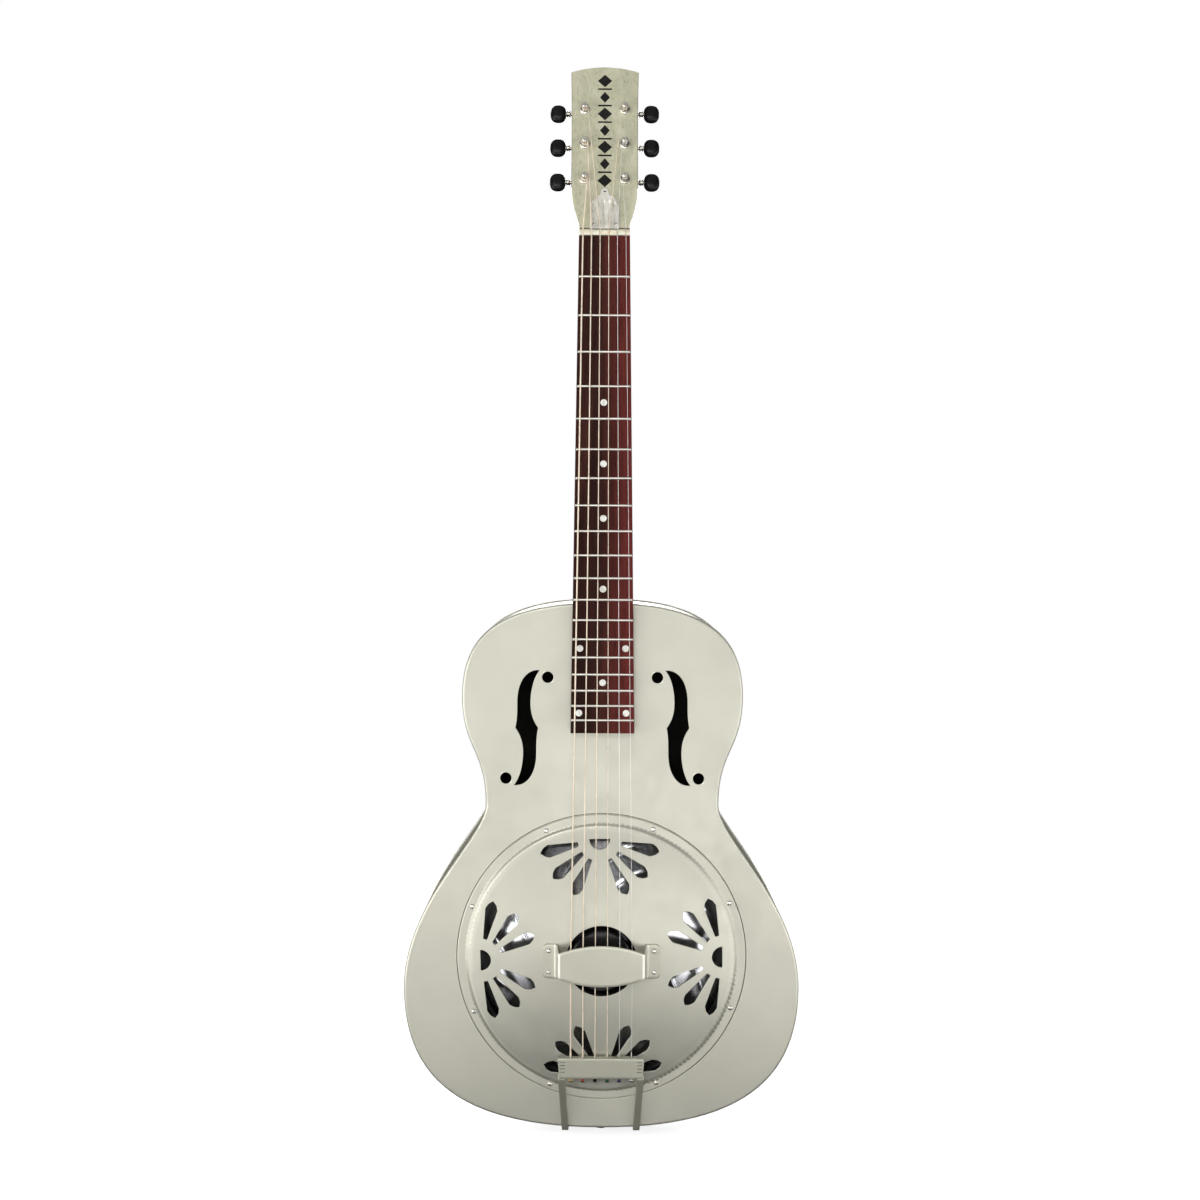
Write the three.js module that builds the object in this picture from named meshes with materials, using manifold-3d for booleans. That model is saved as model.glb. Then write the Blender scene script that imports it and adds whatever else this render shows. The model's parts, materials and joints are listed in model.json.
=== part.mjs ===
// Resonator guitar with a metal body, a single cone and open-back tuners.
// Millimetres. +Z runs up the neck, -Y is the way the strings face, +X is the treble side.
// The origin is on the back of the neck at the nut, where a wall hanger's cradle holds it.
import * as THREE from 'three';
import { mergeVertices } from 'three/addons/utils/BufferGeometryUtils.js';
import Module from 'manifold-3d';

const wasm = await Module();
wasm.setup();

// ---- driving dimensions -------------------------------------------------------------
const GAP = 0.3; // between two pieces that touch in the real thing
const SHEET = 1.2; // thickness of the pressed metal
const SCALE = 635; // nut to saddle
const BODY_JOINT = SCALE / 2; // the 12th fret is where the neck meets the body
const FACE_Y = -22; // outer face of the top
const DEPTH = 82; // of the body, top to back
const BACK_Y = FACE_Y + DEPTH;

const BODY_TOP_Z = -320;
const BODY_END_Z = -793.4;
const UPPER_BOUT = { half: 124.5, z: -404 };
const WAIST = { half: 103.5, z: -500 };
const LOWER_BOUT = { half: 177, z: -666 };

const CONE_Z = -637; // centre of the cone, its well and the cover
const COVER_R = 128.5;
const DOME_R = 120; // where the dome rises from the cover's flat flange
const DOME_HEIGHT = 13;
const COVER_HOLE_R = 31.5;
const COVER_TURN = THREE.MathUtils.degToRad(1); // anticlockwise, as the player's audience sees it
const WELL_R = 120.5;
const WELL_DEPTH = 23;
const CONE_R = 119;
const CONE_TOP = 4; // the cone's flat top stands this far in front of the top

const NUT_WIDTH = 44.5;
const BOARD_END_WIDTH = 56;
const BOARD_LENGTH = 434.5;
const BOARD_THICK = 6;
const BOARD_LIFT = 9; // playing face above the top, at the body joint
const FRETS = 19;
const NECK_SET = THREE.MathUtils.degToRad(1.85); // the neck leans back from the top
const NUT_Y = FACE_Y - BOARD_LIFT + BODY_JOINT * Math.sin(NECK_SET);
const NECK_DEPTH = -NUT_Y; // playing face to the back of the neck at the nut

const HEAD_TILT = THREE.MathUtils.degToRad(12);
const HEAD_DROP = 2; // the head's face lies this far behind the playing face at the nut
const HEAD_LENGTH = 158;
const HEAD_ARCH = 5;
const HEAD_HALF = 29.5;
const HEAD_THICK = 15;
const VENEER = 1;

const STRING_RADII = [0.67, 0.53, 0.41, 0.31, 0.22, 0.17];
const NUT_SPREAD = 37.5; // first to last string at the nut
const SADDLE_SPREAD = 54;
const SADDLE_HEIGHT = 24.5; // middle of the saddle's edge above the top
const SADDLE_ARCH = 0.8; // how much lower its two ends are
const SADDLE_HALF = 29;
const TAIL_Z = -743.8; // where the strings end
const TAIL_HEIGHT = 11; // strings above the top at that end
const TOUCH = 0.15; // between a string and what it bears on
const NUT_LENGTH = 4.8;
const NUT_TOP = 2.6; // above the playing face
const NUT_SLOT = 1.3; // bottom of the nut's slots above the playing face

const POST_X = 17.8;
const POST_Z = [54, 87.5, 121]; // along the head from the nut
const POST_RISE = 9; // tip of a post above the head's face
const POST_WAIST_R = 2; // where the string winds
const GEAR_TEETH = 15;
const GEAR_MODULE = 0.62;
const GEAR_R = (GEAR_TEETH * GEAR_MODULE) / 2;
const WORM_OFFSET = 7.5; // worm axis above the post axis, along the head
const WORM_BACK = 5.5; // worm axis behind the head's back
const WORM_ROOT_R = WORM_OFFSET - GEAR_R - GEAR_MODULE - 0.15;
const BUTTON_X = 42; // centre of a button from the centre line

// ---- materials ----------------------------------------------------------------------
const paint = (color, metalness, roughness) =>
  new THREE.MeshStandardMaterial({ color, metalness, roughness });
const BODY_PAINT = paint(0x8a8270, 0.4, 0.45);
const NICKEL = paint(0xc9c6be, 1, 0.3);
const ALUMINIUM = paint(0xd8dadb, 1, 0.35);
const STEEL = paint(0xb0b2b4, 1, 0.35);
const BRONZE = paint(0xb98a55, 1, 0.35);
const ROSEWOOD = paint(0x3a2219, 0, 0.5);
const MAHOGANY = paint(0x5a2a18, 0, 0.4);
const MAPLE = paint(0xc9a26c, 0, 0.5);
const PEARL = paint(0xd8d6bd, 0, 0.25);
const BONE = paint(0xe8e0c8, 0, 0.4);
const BLACK = paint(0x111111, 0, 0.3);

const guitar = new THREE.Group();
guitar.name = 'resonator_guitar';

function add(name, geometry, material, frame) {
  if (frame) geometry.applyMatrix4(frame);
  const mesh = new THREE.Mesh(geometry, material);
  mesh.name = name;
  guitar.add(mesh);
}

// ---- shape helpers ------------------------------------------------------------------
const v2 = (x, y) => new THREE.Vector2(x, y);
const v3 = (x, y, z) => new THREE.Vector3(x, y, z);
const shift = (x, y, z) => new THREE.Matrix4().makeTranslation(x, y, z);

function toManifold(geometry) {
  const bare = new THREE.BufferGeometry();
  bare.setAttribute('position', geometry.getAttribute('position'));
  bare.setIndex(geometry.index);
  const merged = mergeVertices(bare, 1e-4);
  return new wasm.Manifold(
    new wasm.Mesh({
      numProp: 3,
      vertProperties: Float32Array.from(merged.getAttribute('position').array),
      triVerts: Uint32Array.from(merged.index.array),
    }),
  );
}

function toGeometry(manifold) {
  const mesh = manifold.getMesh();
  const geometry = new THREE.BufferGeometry();
  geometry.setAttribute('position', new THREE.BufferAttribute(mesh.vertProperties, 3));
  geometry.setIndex(new THREE.BufferAttribute(mesh.triVerts, 1));
  geometry.computeVertexNormals();
  return geometry;
}

function join(geometries) {
  return toGeometry(wasm.Manifold.union(geometries.map(toManifold)));
}

function cut(geometry, cutters) {
  const tools = wasm.Manifold.union(cutters.map(toManifold));
  return toGeometry(wasm.Manifold.difference(toManifold(geometry), tools));
}

// A flat shape drawn in x and z, from y0 back to y1.
function plate(shape, y0, y1, curveSegments = 12) {
  const settings = { depth: y1 - y0, bevelEnabled: false, curveSegments };
  const geometry = new THREE.ExtrudeGeometry(shape, settings);
  geometry.rotateX(Math.PI / 2);
  return geometry.translate(0, y1, 0);
}

function box(x0, x1, y0, y1, z0, z1) {
  const geometry = new THREE.BoxGeometry(x1 - x0, y1 - y0, z1 - z0);
  return geometry.translate((x0 + x1) / 2, (y0 + y1) / 2, (z0 + z1) / 2);
}

// Turns a profile of [radius, distance along the axis] pairs about y.
function turned(profile, segments) {
  return new THREE.LatheGeometry(profile.map(([r, a]) => v2(r, a)), segments);
}

const alongX = (geometry, way = 1) => geometry.rotateZ((-way * Math.PI) / 2);
const alongZ = (geometry, way = 1) => geometry.rotateX((way * Math.PI) / 2);

// Closed polygon from points, turned into a shape.
const polygon = (points) => new THREE.Shape(points);

// Moves every point of a closed loop inwards along the loop's own normal.
function inset(points, distance) {
  const n = points.length;
  return points.map((point, i) => {
    const ahead = points[(i + 1) % n].clone().sub(points[(i + n - 1) % n]).normalize();
    return point.clone().add(v2(-ahead.y, ahead.x).multiplyScalar(distance));
  });
}

// ---- body ---------------------------------------------------------------------------
// Half of the outline as four cubic curves, from the neck round to the end block.
function bodyCurves() {
  const { half: uw, z: uz } = UPPER_BOUT;
  const { half: ww, z: wz } = WAIST;
  const { half: lw, z: lz } = LOWER_BOUT;
  const curve = (...p) => new THREE.CubicBezierCurve(...p.map(([x, z]) => v2(x, z)));
  return [
    curve([0, BODY_TOP_Z], [90, BODY_TOP_Z], [uw, uz + 57], [uw, uz]),
    curve([uw, uz], [uw, uz - 46], [ww, wz + 48], [ww, wz]),
    curve([ww, wz], [ww, wz - 30], [lw, lz + 78], [lw, lz]),
    curve([lw, lz], [lw, lz - 85], [124, BODY_END_Z], [0, BODY_END_Z]),
  ];
}

function bodyOutline() {
  const right = bodyCurves().flatMap((c) => c.getPoints(10).slice(0, -1));
  const left = right.slice(1).map((p) => v2(-p.x, p.y));
  return [...left, v2(0, BODY_END_Z), ...right.reverse()];
}

const OUTLINE = bodyOutline();

const F_HOLE = { x: 67, z: -431.5 }; // middle of the treble one; the bass one is its mirror
const F_DOT = { x: 18.5, z: 45, radius: 5 }; // the round holes by its two ends

// Half of an f-hole's edge; the other half is the same turned through 180 degrees.
function fHole(side) {
  const edge = new THREE.Path();
  edge.moveTo(11.4, 51.3);
  edge.bezierCurveTo(-1, 52, -8.6, 40, -8.4, 22);
  edge.quadraticCurveTo(-8.2, 8, -10, 0);
  edge.quadraticCurveTo(-3.2, -9, -3.2, -22);
  edge.bezierCurveTo(-3.2, -34, -6.5, -46, -11.4, -51.3);
  const half = edge.getPoints(5).slice(0, -1);
  const loop = [...half, ...half.map((p) => p.clone().negate())];
  return new THREE.Path(loop.map((p) => v2(side * (F_HOLE.x - p.x), F_HOLE.z + p.y)));
}

function disc(x, z, radius) {
  return new THREE.Path().absarc(x, z, radius, 0, 2 * Math.PI, false);
}

function topPlate() {
  const shape = polygon(OUTLINE);
  shape.holes.push(disc(0, CONE_Z, WELL_R));
  for (const side of [-1, 1]) {
    shape.holes.push(fHole(side));
    for (const end of [-1, 1]) {
      const [x, z] = [side * (F_HOLE.x - end * F_DOT.x), F_HOLE.z + end * F_DOT.z];
      shape.holes.push(disc(x, z, F_DOT.radius));
    }
  }
  return plate(shape, FACE_Y, FACE_Y + SHEET, 24);
}

const STICK = { half: 11, y0: FACE_Y + 30, y1: FACE_Y + 54 }; // runs from the neck to the end

function sideBand() {
  const ring = polygon(OUTLINE);
  ring.holes.push(new THREE.Path(inset(OUTLINE, SHEET)));
  const band = plate(ring, FACE_Y + SHEET + GAP, BACK_Y - SHEET - GAP);
  const { half, y0, y1 } = STICK;
  const opening = box(-half - GAP, half + GAP, y0 - GAP, y1 + GAP, -9, 9);
  return cut(band, [opening.translate(0, 0, BODY_TOP_Z)]);
}

add('top_plate', topPlate(), BODY_PAINT);
add('side_band', sideBand(), BODY_PAINT);
add('back_plate', plate(polygon(OUTLINE), BACK_Y - SHEET, BACK_Y), BODY_PAINT);

// ---- cone, well and bridge ----------------------------------------------------------
const coneFrame = shift(0, FACE_Y, CONE_Z);

function coneWell() {
  const out = WELL_R + SHEET;
  const under = SHEET + GAP;
  const profile = [
    [WELL_R - 13, WELL_DEPTH], [out, WELL_DEPTH], [out, under + SHEET],
    [out + 5, under + SHEET], [out + 5, under], [WELL_R, under],
    [WELL_R, WELL_DEPTH - SHEET], [WELL_R - 13, WELL_DEPTH - SHEET],
    [WELL_R - 13, WELL_DEPTH],
  ];
  return turned(profile.reverse(), 36);
}

function cone() {
  const rim = WELL_DEPTH - SHEET - GAP;
  const skin = 0.9;
  const profile = [
    [0, -CONE_TOP], [17, -CONE_TOP], [20, -CONE_TOP + 2], [111, rim - 3],
    [113, rim - skin], [CONE_R, rim - skin], [CONE_R, rim], [112, rim],
    [109, rim - 2], [18, -CONE_TOP + 2 + skin], [16, -CONE_TOP + skin], [0, -CONE_TOP + skin],
  ];
  return turned(profile, 36);
}

const BISCUIT_R = 27;
const BISCUIT_FACE = 13.5; // above the top
const SADDLE_SEAT = 9.5; // bottom of the saddle's slot above the top

function biscuit() {
  const low = -CONE_TOP - GAP;
  const profile = [
    [0, -BISCUIT_FACE], [BISCUIT_R - 1, -BISCUIT_FACE], [BISCUIT_R, -BISCUIT_FACE + 1],
    [BISCUIT_R, low], [0, low],
  ];
  const slot = box(-40, 40, -BISCUIT_FACE - 1, -SADDLE_SEAT, -1.6 - GAP, 1.6 + GAP);
  const bore = turned([[0, -SADDLE_SEAT - 1], [2.1, -SADDLE_SEAT - 1], [2.1, 0], [0, 0]], 12);
  return cut(turned(profile, 24), [slot, bore]);
}

function saddle() {
  const shape = new THREE.Shape();
  const low = SADDLE_SEAT + GAP;
  shape.moveTo(-SADDLE_HALF, BISCUIT_FACE + GAP);
  shape.lineTo(-BISCUIT_R + 1, low);
  shape.lineTo(BISCUIT_R - 1, low);
  shape.lineTo(SADDLE_HALF, BISCUIT_FACE + GAP);
  shape.lineTo(SADDLE_HALF, SADDLE_HEIGHT - SADDLE_ARCH);
  shape.quadraticCurveTo(
    0, SADDLE_HEIGHT + SADDLE_ARCH, -SADDLE_HALF, SADDLE_HEIGHT - SADDLE_ARCH,
  );
  const settings = { depth: 3.2, bevelEnabled: false, curveSegments: 8 };
  const geometry = new THREE.ExtrudeGeometry(shape, settings);
  geometry.rotateX(Math.PI);
  return geometry.translate(0, 0, 1.6);
}

add('cone_well', coneWell(), BODY_PAINT, coneFrame);
add('cone', cone(), ALUMINIUM, coneFrame);
add('biscuit', biscuit(), BLACK, coneFrame);
add('saddle', saddle(), MAPLE, coneFrame);

// ---- cover plate --------------------------------------------------------------------
// Height of the cover's outer face above the top at a radius from its centre.
function domeHeight(radius) {
  const crown = 3.6;
  const share = Math.min(1, radius / DOME_R);
  return crown + (DOME_HEIGHT - crown) * (1 - share ** 2) * 1.07;
}

function coverRing() {
  const span = DOME_R - COVER_HOLE_R;
  const steps = [0, 0.2, 0.4, 0.6, 0.8, 1].map((share) => COVER_HOLE_R + span * share);
  const outer = steps.map((r) => [r, -domeHeight(r)]);
  const inner = steps.map((r) => [r, -domeHeight(r) + SHEET]).reverse();
  const flange = [
    [DOME_R + 1.5, -SHEET - GAP], [COVER_R, -SHEET - GAP], [COVER_R, -GAP], [DOME_R + 0.2, -GAP],
  ];
  const profile = [...outer, ...flange, ...inner];
  return turned([...profile, profile[0]], 48);
}

const FAN_REACH = 107.5; // from the cover's centre to the point the slots fan out from
const FAN_ANGLES = [-77, -51, -26, 26, 51, 77].map((a) => THREE.MathUtils.degToRad(a));
const FAN_SLOT = [[19.5, 1.8], [46.5, 5.5], [51, 3.6], [54.2, 0]]; // distance out, half width

function fanSlot(angle) {
  const edge = FAN_SLOT.map(([r, w]) => v2(r, w));
  const mirrored = edge.slice(0, -1).reverse().map((p) => v2(p.x, -p.y));
  const spun = [...edge, ...mirrored].map((p) => p.rotateAround(v2(0, 0), angle - Math.PI / 2));
  return polygon(spun);
}

function fanShapes() {
  const halfMoon = new THREE.Shape().absarc(0, 0, 9.2, Math.PI, 2 * Math.PI, false);
  return [halfMoon, ...FAN_ANGLES.map(fanSlot)];
}

function coverPlate() {
  const cutters = [];
  for (let quarter = 0; quarter < 4; quarter += 1) {
    for (const shape of fanShapes()) {
      const cutter = plate(shape, -40, 0, 6).translate(0, 0, FAN_REACH);
      cutters.push(cutter.rotateY((quarter * Math.PI) / 2 - COVER_TURN));
    }
  }
  return cut(coverRing(), cutters);
}

const REST_X = 38.5; // half the deck's length
const REST_END = 11; // half the deck's width at its ends
const REST_UNDER = 28; // underside of the deck above the top, clear of the strings
const REST_FOOT = { length: 13, half: 15.5 };

function handRest() {
  const foot = domeHeight(40) + GAP;
  const top = REST_UNDER + SHEET;
  const deck = new THREE.Shape();
  deck.moveTo(-REST_X, -REST_END);
  deck.quadraticCurveTo(0, -25.5, REST_X, -REST_END);
  deck.lineTo(REST_X, REST_END);
  deck.quadraticCurveTo(0, 25.5, -REST_X, REST_END);
  deck.closePath();
  const pieces = [plate(deck, -top, -REST_UNDER, 10)];
  for (const side of [-1, 1]) {
    const { length, half } = REST_FOOT;
    const [inner, leg, toe] = [REST_X - SHEET, REST_X, REST_X + length].map((x) => x * side);
    const low = Math.min(inner, leg);
    pieces.push(box(low, low + SHEET, -top, -foot, -REST_END, REST_END));
    const [x0, x1] = [Math.min(inner, toe), Math.max(inner, toe)];
    pieces.push(box(x0, x1, -foot - SHEET, -foot, -half, half));
  }
  return join(pieces);
}

add('cover_plate', coverPlate(), BODY_PAINT, coneFrame);
add('hand_rest', handRest(), BODY_PAINT, coneFrame);

// ---- tailpiece and strap button -----------------------------------------------------
const TAIL_BAR = { z0: -741.7, z1: -723, under: 14.8, top: 16.2 };
const TAIL_LEG = { x: 79.5, lean: 0.06, width: 6 }; // x at z = 0, and how far it moves in per mm

// One leg seen from the side: down to the body's edge and round it to the end block.
function tailLeg(side) {
  const { z0, under, top } = TAIL_BAR;
  const end = BODY_END_Z - GAP;
  const profile = polygon([
    v2(-top, z0 + 1), v2(-top, z0 - 2), v2(-3.4, end + 2), v2(-1.2, end - SHEET),
    v2(50, end - SHEET), v2(50, end), v2(-GAP, end), v2(-1.6, end + 2.8),
    v2(-under, z0 - 1), v2(-under, z0 + 1),
  ]);
  const { x, lean, width } = TAIL_LEG;
  const strip = new THREE.ExtrudeGeometry(profile, { depth: width, bevelEnabled: false });
  strip.applyMatrix4(new THREE.Matrix4().makeBasis(v3(0, 1, 0), v3(0, 0, 1), v3(1, 0, 0)));
  strip.applyMatrix4(new THREE.Matrix4().makeShear(0, 0, 0, 0, side * lean, 0));
  return strip.translate(side * x - width / 2, FACE_Y, 0);
}

function tailpiece() {
  const { z0, z1, under, top } = TAIL_BAR;
  const end = BODY_END_Z - GAP;
  const bar = polygon([v2(-38.5, z1), v2(-37, z0), v2(37, z0), v2(38.5, z1)]);
  const lip = box(-38.2, 38.2, FACE_Y - top, FACE_Y - 10.4, z1 - 1.5, z1);
  const foot = box(-34, 34, FACE_Y + 30, FACE_Y + 50, end - SHEET, end);
  const pieces = [plate(bar, FACE_Y - top, FACE_Y - under), lip, foot, tailLeg(-1), tailLeg(1)];
  const slots = [0, 1, 2, 3, 4, 5].map((i) => {
    const x = stringX(i, SADDLE_SPREAD);
    return box(x - 1.1, x + 1.1, FACE_Y - under, FACE_Y, z1 - 5, z1 + 5);
  });
  return cut(join(pieces), slots);
}

function stringX(index, spread) {
  return spread * (index / 5 - 0.5);
}

function strapButton() {
  const profile = [
    [0, 0], [6, 0], [6, 1.5], [4, 3], [3.6, 6], [5, 9], [7.5, 10], [7.5, 12], [5, 13.2], [0, 13.5],
  ];
  const button = alongZ(turned(profile, 20), -1);
  return button.translate(0, FACE_Y + 41, BODY_END_Z - 2 - 2 * GAP);
}

add('tailpiece', tailpiece(), BODY_PAINT);
add('strap_button', strapButton(), NICKEL);

// ---- neck ---------------------------------------------------------------------------
// Neck frame: y = 0 is the playing face, z = 0 the nut, z falls towards the body.
const neckFrame = shift(0, NUT_Y, 0).multiply(new THREE.Matrix4().makeRotationX(-NECK_SET));
// Head frame: y = 0 is the head's face, z runs up the head.
const headFrame = neckFrame
  .clone()
  .multiply(shift(0, HEAD_DROP, 0))
  .multiply(new THREE.Matrix4().makeRotationX(-HEAD_TILT));
const UNDER_BOARD = BOARD_THICK + GAP;

const boardHalf = (s) => (NUT_WIDTH + ((BOARD_END_WIDTH - NUT_WIDTH) * s) / BOARD_LENGTH) / 2;

// How far the neck's back has swelled into the heel, from 0 to 1, at a distance from the nut.
const heelShare = (s) => THREE.MathUtils.smoothstep(s, BODY_JOINT - 52, BODY_JOINT + 4);

function neckSection(s) {
  const points = [];
  const along = Math.max(0, s);
  const half = boardHalf(along);
  const heel = heelShare(s);
  const depth = NECK_DEPTH + 0.009 * along + 40 * heel ** 1.5 - UNDER_BOARD;
  for (let i = 0; i <= 10; i += 1) {
    const angle = (Math.PI * i) / 10;
    const narrow = 1 - 0.35 * heel * Math.sin(angle);
    const x = half * narrow * Math.sign(Math.cos(angle)) * Math.abs(Math.cos(angle)) ** 0.75;
    points.push(v3(x, UNDER_BOARD + depth * Math.sin(angle) ** 0.85, -s));
  }
  return points;
}

// A skin over rings of points, each ring the same length, closed with flat ends.
function loft(rings) {
  const n = rings[0].length;
  const position = rings.flat().flatMap((p) => [p.x, p.y, p.z]);
  const index = [];
  for (let r = 0; r + 1 < rings.length; r += 1) {
    for (let i = 0; i < n; i += 1) {
      const [a, b] = [r * n + i, r * n + ((i + 1) % n)];
      index.push(a, a + n, b, b, a + n, b + n);
    }
  }
  const last = (rings.length - 1) * n;
  for (let i = 1; i + 1 < n; i += 1) {
    index.push(0, i, i + 1);
    index.push(last, last + i + 1, last + i);
  }
  const geometry = new THREE.BufferGeometry();
  geometry.setAttribute('position', new THREE.Float32BufferAttribute(position, 3));
  geometry.setIndex(index);
  return geometry;
}

function headShape(start) {
  const flare = NUT_WIDTH / 2;
  const waist = HEAD_HALF - 0.6;
  const shape = new THREE.Shape();
  shape.moveTo(-flare, start);
  shape.lineTo(-flare, 5.4);
  shape.bezierCurveTo(-flare - 1, 18, -HEAD_HALF, 27, -HEAD_HALF, 46);
  shape.quadraticCurveTo(-waist, 100, -HEAD_HALF - 0.6, HEAD_LENGTH);
  shape.quadraticCurveTo(0, HEAD_LENGTH + 2 * HEAD_ARCH, HEAD_HALF + 0.6, HEAD_LENGTH);
  shape.quadraticCurveTo(waist, 100, HEAD_HALF, 46);
  shape.bezierCurveTo(HEAD_HALF, 27, flare + 1, 18, flare, 5.4);
  shape.lineTo(flare, start);
  return shape;
}

function postPlaces() {
  return POST_Z.flatMap((z) => [-1, 1].map((side) => [side * POST_X, z]));
}

const ROD_POCKET = { half: 4, end: 40 }; // where the rod's nut is reached, under the rod cover
const BORE_R = 4.6;

function neck() {
  const stops = [-9, 0, 60, 160, 262, 276, 288, 298, 306, 312, 318, 326];
  const shaft = loft(stops.map(neckSection));
  const tongueEnd = BOARD_LENGTH - 2;
  const tongue = box(-19, 19, UNDER_BOARD, 14, -tongueEnd, -300);
  const head = plate(headShape(-2), VENEER + GAP, HEAD_THICK, 8);
  head.applyMatrix4(neckFrame.clone().invert().multiply(headFrame));
  const wood = join([shaft, tongue, head]).applyMatrix4(neckFrame);
  const body = box(-99, 99, FACE_Y - GAP, BACK_Y, -500, BODY_TOP_Z + GAP);
  const seat = box(-40, 40, -9, UNDER_BOARD, -500, 5.1).applyMatrix4(neckFrame);
  const { half, end } = ROD_POCKET;
  const rod = box(-half, half, 0, UNDER_BOARD + 7.5, -300, 12).applyMatrix4(neckFrame);
  const pocket = box(-half, half, -9, 9, 5, end).applyMatrix4(headFrame);
  const bores = postPlaces().map(([x, z]) => {
    const bore = new THREE.CylinderGeometry(BORE_R, BORE_R, 60, 16).translate(x, 0, z);
    return bore.applyMatrix4(headFrame);
  });
  return cut(wood, [body, seat, rod, pocket, ...bores]);
}

function fingerboard() {
  const [near, far] = [NUT_WIDTH / 2, BOARD_END_WIDTH / 2];
  const blank = polygon([
    v2(-far, -BOARD_LENGTH), v2(far, -BOARD_LENGTH), v2(near, 0), v2(-near, 0),
  ]);
  const pieces = [plate(blank, 0, BOARD_THICK)];
  const crown = polygon([
    v2(-1.1, 0.2), v2(-1.1, -0.4), v2(-0.5, -1.1), v2(0.5, -1.1), v2(1.1, -0.4), v2(1.1, 0.2),
  ]);
  for (let fret = 1; fret <= FRETS; fret += 1) {
    const s = SCALE * (1 - 2 ** (-fret / 12));
    const half = boardHalf(s) - 0.4;
    const wire = new THREE.ExtrudeGeometry(crown, { depth: 2 * half, bevelEnabled: false });
    wire.applyMatrix4(new THREE.Matrix4().makeBasis(v3(0, 0, 1), v3(0, 1, 0), v3(-1, 0, 0)));
    pieces.push(wire.translate(half, 0, -s));
  }
  return join(pieces);
}

function veneer() {
  const shape = headShape(5.4);
  for (const [x, z] of postPlaces()) shape.holes.push(disc(x, z, BORE_R));
  const { half, end } = ROD_POCKET;
  shape.holes.push(new THREE.Path([v2(-half, 9), v2(half, 9), v2(half, end), v2(-half, end)]));
  return plate(shape, 0, VENEER, 8);
}

function rodCover() {
  const shape = new THREE.Shape();
  shape.moveTo(-13, 6);
  shape.lineTo(13, 6);
  shape.bezierCurveTo(13, 24, 8, 36, 4, 37);
  shape.lineTo(3, 43);
  shape.quadraticCurveTo(0, 46, -3, 43);
  shape.lineTo(-4, 37);
  shape.bezierCurveTo(-8, 36, -13, 24, -13, 6);
  return plate(shape, -2 - GAP, -GAP, 8);
}

function trussRod() {
  const axis = UNDER_BOARD + 4;
  const rod = new THREE.CylinderGeometry(2.5, 2.5, 290, 10);
  alongZ(rod).translate(0, axis, -148);
  const nut = new THREE.CylinderGeometry(3.3, 3.3, 9, 6);
  alongZ(nut).translate(0, axis, 0.5);
  return join([rod, nut]);
}

function nut() {
  const side = NUT_WIDTH / 2;
  const blank = box(-side, side, -NUT_TOP, BOARD_THICK, GAP, NUT_LENGTH);
  const slots = STRING_RADII.map((radius, i) => {
    const x = stringX(i, NUT_SPREAD);
    const half = radius + TOUCH;
    return box(x - half, x + half, -9, -NUT_SLOT, -1, 9);
  });
  return cut(blank, slots);
}

add('neck', neck(), MAHOGANY);
add('fingerboard', fingerboard(), ROSEWOOD, neckFrame);
add('nut', nut(), BONE, neckFrame);
add('truss_rod', trussRod(), STEEL, neckFrame);
add('headstock_veneer', veneer(), PEARL, headFrame);
add('truss_rod_cover', rodCover(), PEARL, headFrame);

function neckStick() {
  const { half, y0, y1 } = STICK;
  return box(-half, half, y0, y1, BODY_END_Z + 2 * SHEET, BODY_TOP_Z);
}

add('neck_stick', neckStick(), MAPLE);

// ---- tuners -------------------------------------------------------------------------
// Tuner frame: the post's own axis is y, y = 0 the head's back, z up the head.
function gearOutline() {
  const points = [];
  const [tip, root] = [GEAR_R + GEAR_MODULE, GEAR_R - 1.2 * GEAR_MODULE];
  for (let tooth = 0; tooth < GEAR_TEETH; tooth += 1) {
    for (const [share, radius] of [[0.22, root], [0.38, tip], [0.62, tip], [0.78, root]]) {
      const angle = (2 * Math.PI * (tooth + share - 0.5)) / GEAR_TEETH + Math.PI / 2;
      points.push(v2(radius * Math.cos(angle), radius * Math.sin(angle)));
    }
  }
  return points;
}

function gear() {
  const shape = polygon(gearOutline());
  shape.holes.push(disc(0, 0, 1.8 + GAP));
  return plate(shape, WORM_BACK - 2, WORM_BACK + 2, 4);
}

function post() {
  const tip = -HEAD_THICK - POST_RISE;
  const seat = -HEAD_THICK - 1.2;
  const profile = [
    [0, tip], [2.4, tip], [2.9, tip + 0.5], [2.9, tip + 1.6], [POST_WAIST_R, tip + 2.4],
    [POST_WAIST_R, seat], [2.9, seat + 0.8], [2.9, WORM_BACK - 2 - GAP], [1.8, WORM_BACK - 2 - GAP],
    [1.8, WORM_BACK + 2 + GAP], [3, WORM_BACK + 2 + GAP], [2.6, WORM_BACK + 3.6], [0, WORM_BACK + 3.8],
  ];
  return turned(profile, 10);
}

const EAR_X = 6;

function tunerPlate() {
  const base = box(-9.5, 9.5, GAP, 1.5, -12.5, 15.5);
  const ears = [-1, 1].map((end) => {
    const [x0, x1] = end > 0 ? [EAR_X, EAR_X + SHEET] : [-EAR_X - SHEET, -EAR_X];
    return box(x0, x1, 1, WORM_BACK + 3.6, WORM_OFFSET - 3.4, WORM_OFFSET + 3.4);
  });
  const shaftHole = alongX(new THREE.CylinderGeometry(1.6 + GAP, 1.6 + GAP, 40, 8));
  shaftHole.translate(0, WORM_BACK, WORM_OFFSET);
  const postHole = new THREE.CylinderGeometry(3.2, 3.2, 20, 10);
  return cut(join([base, ...ears]), [shaftHole, postHole]);
}

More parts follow.
